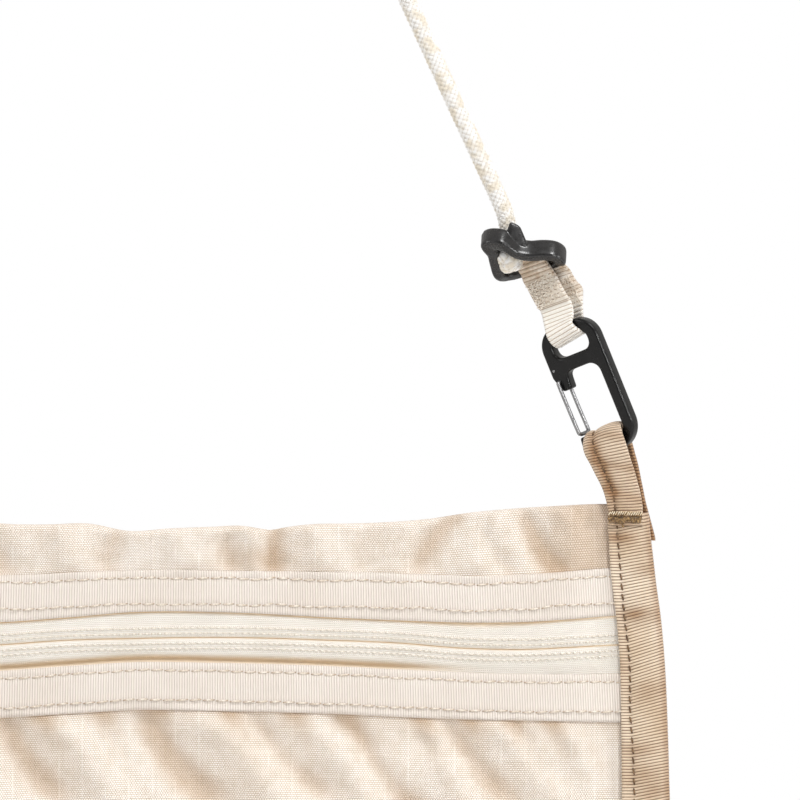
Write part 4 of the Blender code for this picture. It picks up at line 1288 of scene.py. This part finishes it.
def plate(name, outlines, thickness, bevel, matrix):
    """A flat plate with rounded edges, cut to closed outlines; the later ones are holes."""
    data = bpy.data.curves.new(name, "CURVE")
    data.dimensions = "2D"
    data.fill_mode = "BOTH"
    data.extrude = (thickness / 2 - bevel) * MM
    data.bevel_depth = bevel * MM
    data.bevel_resolution = 4
    data.offset = -bevel * MM
    for outline in outlines:
        spline = data.splines.new("POLY")
        spline.points.add(len(outline) - 1)
        for point, (x, y) in zip(spline.points, outline):
            point.co = (x * MM, y * MM, 0.0, 1.0)
        spline.use_cyclic_u = True
    obj = bpy.data.objects.new(name, data)
    bpy.context.scene.collection.objects.link(obj)
    obj.matrix_world = matrix
    bpy.context.view_layer.update()
    result = evaluated(obj, name)
    bm = bmesh.new()
    bm.from_mesh(result.data)
    bmesh.ops.remove_doubles(bm, verts=bm.verts, dist=1e-6)
    bmesh.ops.recalc_face_normals(bm, faces=bm.faces)
    bm.to_mesh(result.data)
    bm.free()
    result.data.set_sharp_from_angle(angle=math.radians(38))
    return result


def smoothed_outline(points, step=0.35, passes=2):
    """An outline at even steps, its corners rounded a little."""
    pts = np.array(points, float)
    closed = np.vstack([pts, pts[:1]])
    lengths = np.concatenate([[0], np.cumsum(np.linalg.norm(np.diff(closed, axis=0), axis=1))])
    at = np.arange(0, lengths[-1], step)
    line = np.stack([np.interp(at, lengths, closed[:, i]) for i in range(2)], axis=1)
    for _ in range(passes):
        line = 0.25 * np.roll(line, 1, axis=0) + 0.5 * line + 0.25 * np.roll(line, -1, axis=0)
    return line.tolist()


def carabiner_matrix():
    matrix = Matrix((ACROSS.tolist(), ALONG.tolist(), OUT.tolist())).transposed().to_4x4()
    matrix.translation = Vector((CARABINER_CENTRE * MM).tolist())
    return matrix


def tube(name, points, radius, around, first=(0.3, 0.9, 0.2)):
    sides, ups = path_frames(np.asarray(points, float), first)
    angle = np.arange(around) / around * 2 * math.pi
    size = np.broadcast_to(np.asarray(radius, float), (len(points),))
    rings = np.asarray(points)[:, None] + around_path(sides, ups, angle) * size[:, None, None]
    return loft(name, rings, sharp=60)


def make_carabiner():
    inner = HALF_W - SIDE_BAR
    eye_top = HALF_L - SIDE_BAR
    eye_low = eye_top - 5.3
    basket_top = eye_low - 3.8
    basket_low = -HALF_L + BASKET_BAR
    outer = arc((HALF_W - 6.0, HALF_L - 6.0), 6.0, 0, 90, 18)
    outer += arc((-HALF_W + 6.0, HALF_L - 6.0), 6.0, 90, 180, 18)
    outer += [(-HALF_W, basket_top - 0.5), (-HALF_W + 1.6, 1.6)]
    outer += [(-inner + 1.0, 1.6), (-inner + 1.2, basket_top - 1.6)]
    outer += arc((-inner + 2.8, basket_top - 1.6), 1.6, 180, 90, 8)
    outer += arc((inner - 3.0, basket_top - 3.0), 3.0, 90, 0, 12)
    outer += arc((inner - 2.0, basket_low + 2.0), 2.0, 0, -90, 8)
    outer += [(-inner - 0.2, basket_low), (-inner - 0.6, -11.5), (-HALF_W + 0.9, -11.5)]
    bottom = -HALF_L + 0.6
    outer += arc((-HALF_W + 5.0, bottom + 4.8), 4.8, 200, 270, 14)
    outer += arc((HALF_W - 6.8, bottom + 6.8), 6.8, 270, 360, 18)
    eye = []
    radius = 2.2
    corners = ((inner, eye_top, 0), (-inner, eye_top, 90), (-inner, eye_low, 180), (inner, eye_low, 270))
    for x, y, start in corners:
        centre = (x - math.copysign(radius, x), y - (radius if y == eye_top else -radius))
        eye += arc(centre, radius, start, start + 90, 8)
    outlines = [smoothed_outline(outer), smoothed_outline(eye)]
    return plate("right_carabiner_body", outlines, THICKNESS, bevel=0.75, matrix=carabiner_matrix())


def make_gate():
    u, v, low, half = -7.3, 4.2, -10.6, 2.7
    route = [
        (u + 0.1, v + 0.3, 1.0), (u, v + 0.3, 1.7), (u, v, half - 0.1), (u, v - 0.9, half), (u + 0.05, -3.0, half),
        (u + 0.2, low + 1.0, half), (u + 0.25, low + 0.35, half - 0.25), (u + 0.25, low, half - 0.9),
        (u + 0.25, low - 0.05, 0.0), (u + 0.25, low, -half + 0.9), (u + 0.25, low + 0.35, -half + 0.25),
        (u + 0.2, low + 1.0, -half), (u + 0.05, -3.0, -half), (u, v - 0.9, -half), (u, v, -half + 0.1),
        (u, v + 0.3, -1.7), (u + 0.1, v + 0.3, -1.0),
    ]
    points = np.array([on_carabiner(*place) for place in route])
    return tube("right_gate_wire", smooth_path(points, 0.22), radius=0.52, around=16)


def make_gate_pin():
    """The gate wire's other end, showing in its own hole."""
    points = on_carabiner(np.full(4, -7.75), np.full(4, 7.7), np.array([1.2, 1.62, 1.79, 1.85]))
    return tube("right_gate_pin", points, [0.4, 0.4, 0.36, 0.24], around=14)


ADJUSTER_RING = [
    (77.2, -3.2, -155.3), (79.6, -4.4, -154.9), (82.2, -4.9, -155.7), (85.0, -4.6, -157.4), (88.2, -4.5, -158.0),
    (91.6, -4.8, -157.8), (94.6, -5.0, -158.1), (96.3, -3.6, -159.2), (96.2, -1.4, -160.4), (94.4, 1.0, -161.2),
    (90.6, 3.0, -162.3), (85.8, 5.2, -163.7), (82.8, 5.3, -164.4), (80.4, 4.0, -164.2), (79.3, 1.4, -161.4),
    (78.5, -1.4, -158.3),
]


# The adjuster's pull tab: height, half width and half thickness
ADJUSTER_TAB = [
    (0.0, 3.6, 1.5), (1.5, 3.4, 1.5), (3.4, 2.8, 1.4), (5.0, 2.1, 1.3), (6.1, 1.6, 1.1), (6.5, 0.9, 0.6),
]


def make_adjuster():
    points = smooth_path(ADJUSTER_RING, 0.4, closed=True)
    centre = points.mean(axis=0)
    normal = unit(np.cross(points - centre, np.roll(points, -1, axis=0) - centre).sum(axis=0))
    tangents = unit(np.roll(points, -1, axis=0) - np.roll(points, 1, axis=0))
    radial = unit(np.cross(tangents, normal))
    tall = unit(np.cross(radial, tangents))
    nearness = smooth_step((-points[:, 1] - 0.5) / 3.0)
    half_tall = mix(1.25, 2.65 + 0.15 * smooth_step((points[:, 0] - 81.0) / 5.0), nearness)
    half_deep = mix(1.1, 1.5, nearness) + 0.55 * smooth_step((83.0 - points[:, 0]) / 2.5)
    c, s = squarish(28, 0.42)
    rings = points[:, None] + tall[:, None] * (half_tall[:, None] * c)[..., None]
    rings = rings + radial[:, None] * (half_deep[:, None] * s)[..., None]
    ring = loft("adjuster_ring", rings, closed=True)
    base = np.array([84.9, -4.6, -157.2])
    up = unit(np.array([-0.10, 0.10, 0.97]))
    wide = unit(np.array([0.90, 0.0, -0.43]))
    thick = np.cross(up, wide)
    c, s = squarish(24, 0.4)
    tab_rings = [
        base + up * h + wide[None, :] * (w * c)[:, None] + thick[None, :] * (t * s)[:, None]
        for h, w, t in ADJUSTER_TAB
    ]
    return welded([ring, loft("adjuster_tab", tab_rings)], "right_adjuster_body", 0.2)


WEBBING_RIB = 1.16


def tab_threads(flat, span, spot):
    """The threads that sew the webbing to itself: dense rows in front and looser ones behind."""
    segments = []
    rng = np.random.default_rng(7)
    front = flat[int(len(flat) * 0.7):]
    for row in range(12):
        for column in range(12):
            length = span * 0.44 + (row + 0.5) * 0.62 + rng.uniform(-0.12, 0.12)
            rise = float(np.interp(-length, -front[:, 1], front[:, 0])) + 0.16
            side = -4.1 + column * 0.74 + rng.uniform(-0.15, 0.15)
            slant = rng.uniform(0.2, 0.7) * (1 if (row + column) % 2 else -1)
            segments.append((spot(length - 0.3, side - slant, rise), spot(length + 0.3, side + slant, rise)))
    rear = flat[:int(len(flat) * 0.62)]
    rear = rear[rear[:, 0] < -1.2]
    for row in range(17):
        for column in range(5):
            length = span * 0.24 + row * 0.5
            rise = float(np.interp(length, rear[:, 1], rear[:, 0])) + 0.4
            side = 3.4 + column * 0.72 + rng.uniform(-0.25, 0.25)
            slant = rng.uniform(-0.6, 0.6)
            segments.append((spot(length - 0.32, side - slant, rise), spot(length + 0.32, side + slant, rise)))
    return segments


def make_tab():
    """Webbing round the adjuster's rear bar and the carabiner's eye bar, sewn to itself between them."""
    low = on_carabiner(0.0, EYE_BAR_AT, 0.0)
    along = TAB_TOP - low
    span = float(np.linalg.norm(along))
    along = along / span
    across = unit(ACROSS - along * ACROSS.dot(along))
    out = np.cross(across, along)
    bottom, top = 3.65, 3.3
    route = [(0.55, span * 0.46), (0.8, span * 0.31), (2.2, span * 0.15)]
    under_eye_bar = np.radians([8, -20, -50, -90, -130, -160, -188])
    route += [(bottom * math.cos(a), bottom * math.sin(a)) for a in under_eye_bar]
    route += [(-2.8, span * 0.16), (-2.1, span * 0.32), (-2.5, span * 0.5), (-1.9, span * 0.64)]
    route += [(-top * 0.93, span - top * 0.5)]
    over_rear_bar = np.radians([180, 145, 110, 75, 40, 8])
    route += [(top * math.cos(a), span + 1.0 + top * math.sin(a)) for a in over_rear_bar]
    route += [(2.0, span * 0.82), (1.75, span * 0.68), (1.55, span * 0.55), (1.0, span * 0.40)]
    flat = smooth_path([(a, b, 0.0) for a, b in route], WEBBING_RIB / 4)
    half = 4.75
    t = np.linspace(-1, 1, 15)
    share = np.linspace(0, 1, len(flat))
    back = smooth_step((share - 0.32) / 0.18) * smooth_step((0.68 - share) / 0.13)
    grid = []
    for (o, l, _), k, s in zip(flat, back, share):
        near_bar = bell(l, 3.0)
        shift = 1.9 * k - 0.3 * near_bar
        curl = -0.5 * k * (t + 0.2) ** 2 * 2.0
        width = half * (1.0 - 0.05 * k) - 0.45 * near_bar
        bulge = 1.2 * bell(s - 0.47, 0.06)
        skew = -0.17 * smooth_step(l / (0.2 * span)) * width * t
        centre = low + out * o + along * l + across * shift
        pinch = 0.6 * smooth_step((l / span - 0.86) / 0.12)
        edge = across * (width * t + bulge * (t + 1.0) / 2 + pinch * (1.0 - t) / 2)[:, None]
        grid.append(centre + edge + out * curl[:, None] + along * skew[:, None])
    grid = np.array(grid)
    normals = surface_normals(grid, (4, 7), out)
    height = np.broadcast_to((flat[:, 1] / span)[:, None], grid.shape[:2])
    # Painted shade across the top, under the adjuster's bar, and on the back layer; the sewn zone is made darker
    # brown too.
    sewn = smooth_step((height - 0.36) / 0.1) * smooth_step((0.78 - height) / 0.1)
    shade = 0.9 * smooth_step((height - 0.72) / 0.14) + 0.5 * sewn + 0.25 * back[:, None]
    tab = ribbon(
        "right_webbing_loop", grid, 0.85, relief=ribs(WEBBING_RIB, 0.24), normals=normals,
        painted_shade=np.clip(shade, 0, 1),
    )

    def spot(length, side, rise):
        return low + along * length + across * side + out * rise

    line = threads("right_tab_stitches", tab_threads(flat, span, spot), out, radius=0.14)
    return tab, line


LOOP_LEFT = [
    (109.5, -2.9, -231.2), (109.2, -3.0, -228.0), (107.9, -3.2, -222.3), (105.6, -2.8, -217.0), (103.0, -1.6, -211.7),
    (102.4, 0.3, -208.4), (103.7, 2.9, -206.6), (106.0, 5.6, -208.2), (107.3, 5.6, -212.0), (109.0, 4.6, -217.5),
    (110.8, 3.8, -223.0), (112.2, 3.6, -228.5), (113.0, 3.6, -233.0), (113.2, 3.5, -234.2),
]
LOOP_RIGHT = [
    (118.3, -2.9, -231.2), (118.3, -3.2, -228.5), (117.9, -4.0, -223.5), (116.6, -5.0, -217.7), (114.9, -6.1, -211.4),
    (113.6, -5.7, -205.9), (112.9, -3.1, -203.3), (114.0, 0.2, -204.8), (116.0, 1.4, -210.5), (117.5, 1.9, -217.2),
    (118.8, 2.6, -223.6), (120.2, 3.2, -228.6), (121.6, 3.5, -233.8), (121.8, 3.5, -235.2),
]


def evenly(line, count):
    """The line's points again, at a count of even shares along it."""
    shares = np.linspace(0, 1, len(line))
    return np.stack([np.interp(np.linspace(0, 1, count), shares, line[:, i]) for i in range(3)], axis=1)


def make_loop():
    pairs = np.concatenate([LOOP_LEFT, LOOP_RIGHT], axis=1)
    step = TAN_RIB / MM / 4
    nearness = np.array([0, 0, 0.1, 0.5, 0.9, 1.0, 0.3, 0, 0, 0, 0, 0, 0, 0])
    behind = np.array([0, 0, 0, 0, 0, 0, 0, 0.9, 1.0, 0.7, 0.3, 0, 0, 0])
    shift = (0.85 * nearness - 0.8 * behind)[:, None] * OUT
    narrow = 0.55 * np.array([0, 0, 0, 0, 0.2, 0.9, 1.0, 1.0, 0.9, 0.3, 0, 0, 0, 0])[:, None] * ACROSS
    left = smooth_path(np.array(LOOP_LEFT) + shift + narrow, 0.05)
    right = smooth_path(np.array(LOOP_RIGHT) + shift - narrow, 0.05)
    count = int(np.linalg.norm(np.diff((pairs[:, :3] + pairs[:, 3:]) / 2, axis=0), axis=1).sum() / step)
    t = np.linspace(0, 1, 27)
    grid = mix(evenly(left, count)[:, None], evenly(right, count)[:, None], t[None, :, None])
    normals = surface_normals(grid, (20, 10))
    share = np.linspace(0, 1, count)[:, None]
    front = smooth_step((0.46 - share) / 0.12)
    groove_at = mix(0.19, 0.25, smooth_step(share / 0.2))
    groove = 0.34 * bell(t[None, :] - groove_at, 0.06) * mix(0.55, 1.0, front)
    roll = 0.75 * np.sin(np.pi * np.clip((t[None, :] - groove_at) / (1 - groove_at), 0, 1)) ** 0.8
    small = 0.35 * np.sin(np.pi * np.clip(t[None, :] / groove_at, 0, 1))
    wave = 0.12 * np.sin(share * 60.0 + t[None, :] * 4.0)
    foot = smooth_step(share / 0.12)
    lift = roll * mix(0.25, 1.0, foot) + small + wave * foot - groove
    grid = grid + normals * lift[..., None]
    normals = surface_normals(grid, (20, 10))
    # Painted shade: along the front layer's stitched groove, over the back layer, a little over the whole loop and in
    # soft blotches.
    dark = 0.9 * front * bell(t[None, :] - groove_at, 0.16) * smooth_step((share - 0.06) / 0.1)
    blotches = np.maximum(np.sin(share * 47.0 + t * 3.0), 0.0) ** 2
    dark = dark + 0.8 * smooth_step((share - 0.56) / 0.06) + 0.22 + 0.3 * blotches
    loop = ribbon(
        "right_hanging_loop", grid, 0.95, relief=ribs(TAN_RIB / MM, TAN_RIB_HEIGHT), normals=normals,
        painted_shade=np.clip(dark, 0, 1),
    )
    rows = int(count * 0.47)
    line = np.array([
        [np.interp(groove_at[k, 0], t, grid[k, :, i]) for i in range(3)] for k in range(2, rows)
    ])
    outward = np.array([
        [np.interp(groove_at[k, 0], t, normals[k, :, i]) for i in range(3)] for k in range(2, rows)
    ])
    row = stitches("right_loop_stitches", line + outward * 0.06, outward, *TAN_STITCH, radius=0.22)
    return loop, row


def make_bartack():
    """Dense satin threads across the foot of the loop, with a row of loose loops above them."""
    rng = np.random.default_rng(3)
    dark, light = [], []
    for k in range(30):
        x = 109.3 + k * 0.29
        y = -3.5 + 0.12 * math.sin(k * 0.9)
        slant = 0.28 if k % 2 else -0.28
        z = -229.6 + rng.uniform(-0.12, 0.12) + 0.25 * math.sin(k * 0.45)
        dark.append(((x - slant, y, z - 0.75), (x + slant, y, z + 0.75)))
        dark.append(((x + slant, y, z + 0.9), (x - slant, y, z + 2.1)))
    for k in range(15):
        x = 109.4 + k * 0.6 + rng.uniform(-0.06, 0.06)
        slant = 0.3
        z = -227.8 + rng.uniform(-0.12, 0.12)
        light.append(((x - slant, -3.95, z - 0.55), (x + slant, -4.05, z + 0.45)))
    tail = [((113.4, -3.5, -230.1), (112.7, -3.4, -231.0)), ((112.7, -3.4, -231.0), (113.3, -3.3, -231.7))]
    return (
        threads("right_bartack_satin", dark + tail, FRONT, radius=0.24),
        threads("right_bartack_loops", light, FRONT, radius=0.16),
    )


def both_hands(piece, look, body, slot, node=None, left_body=None):
    """The right-hand piece and its mirror image, each standing in for its own node."""
    twin = mirrored(piece, piece.name.replace("right_", "left_"))
    finish_piece(piece, look, body, slot, *([node] if node else []))
    left_nodes = [node.replace("right_", "left_")] if node else []
    finish_piece(twin, look, left_body or body, slot, *left_nodes)


def make_hardware():
    both_hands(make_carabiner(), "anodised", "carabiners", "black_aluminium", "right_carabiner")
    both_hands(make_gate_pin(), "steel", "carabiners", "steel_wire")
    both_hands(make_gate(), "steel", "right_gate", "steel_wire", "right_gate", left_body="left_gate")
    both_hands(make_adjuster(), "plastic", "neck_line", "moulded_plastic", "right_adjuster")
    tab, row = make_tab()
    both_hands(tab, "webbing", "tabs", "ivory_webbing", "right_webbing_tab")
    both_hands(row, "ivory_thread", "tabs", "ivory_thread", "right_tab_bartack")
    binding, front_row, back_row = make_binding()
    both_hands(binding, "tan", "pouch", "tan_grosgrain", "right_binding")
    both_hands(front_row, "tan_thread", "pouch", "tan_thread")
    both_hands(back_row, "tan_thread", "pouch", "tan_thread")
    loop, loop_row = make_loop()
    both_hands(loop, "tan", "pouch", "tan_grosgrain")
    both_hands(loop_row, "tan_thread", "pouch", "tan_thread")
    satin, loops = make_bartack()
    both_hands(satin, "bartack_thread", "pouch", "tan_thread", "right_bartack")
    both_hands(loops, "gold_thread", "pouch", "tan_thread")


SLIDER_PLACE = (-95.0, -262.6)


def make_slider():
    """The slider's body with its bail, and the puller hooked through it."""
    x, z = SLIDER_PLACE
    pieces = []

    def shell(name, y_front, y_back, half_x, half_z, narrow):
        c, s = squarish(40, 0.55)
        taper = 1.0 - narrow * (0.5 - 0.5 * c)
        rings = []
        for y, size in (
            (y_back, 0.90), (y_back - 0.25, 1.0), (y_front + 0.35, 1.0), (y_front + 0.08, 0.95), (y_front, 0.84),
        ):
            rings.append(np.stack([x + half_x * size * c, 0 * c + y, z + half_z * size * s * taper], axis=-1))
        return loft(name, rings, sharp=50)

    pieces.append(shell("front_plate", -4.15, -2.9, 4.2, 3.75, 0.28))
    pieces.append(shell("back_plate", -0.4, 0.8, 3.9, 3.7, 0.28))
    corners = ((-1.0, -0.28), (1.0, -0.28), (1.0, 0.28), (-1.0, 0.28))
    neck = [[(x + across, y, z + up) for across, up in corners] for y in (-3.2, -0.2)]
    pieces.append(loft("neck", neck))
    bail = smooth_path([
        (x - 2.7, -3.6, z), (x - 2.7, -5.6, z), (x - 2.3, -6.4, z), (x - 1.4, -6.75, z), (x, -6.82, z),
        (x + 1.4, -6.75, z), (x + 2.3, -6.4, z), (x + 2.7, -5.6, z), (x + 2.7, -3.6, z)], 0.25)
    pieces.append(tube("bail", bail, radius=0.6, around=14, first=(0, 0, 1)))
    slider = welded(pieces, "slider_body", 0.16)
    finish_piece(slider, "slider", "slider", "slider_metal", "zip_slider")
    puller = make_puller(x, z)
    finish_piece(puller, "slider", "puller", "slider_metal", "zip_puller")


def make_puller(x, z):
    matrix = Matrix(((1, 0, 0), (0, 0, 1), (0, -1, 0))).transposed().to_4x4()
    matrix.translation = Vector((x, -5.1, z)) * MM
    half = 2.7
    outline = [(-0.45, -half + 0.8), (-0.2, -half), (10.0, -half + 0.35), (21.8, -half)]
    outline += arc((21.8, 0.0), half, -80, 80, 14)
    outline += [(21.8, half), (10.0, half - 0.35), (-0.2, half), (-0.45, half - 0.8)]
    window = [(0.45, -1.5), (0.45, 1.5), (4.0, 1.5), (4.3, 1.2), (4.3, -1.2), (4.0, -1.5)]
    grip = arc((20.6, 0.0), 1.25, 0, 345, 20)
    outlines = [smoothed_outline(outline, 0.3, 2), window[::-1], grip[::-1]]
    return plate("puller_plate", outlines, thickness=1.1, bevel=0.3, matrix=matrix)


make_hardware()
make_slider()
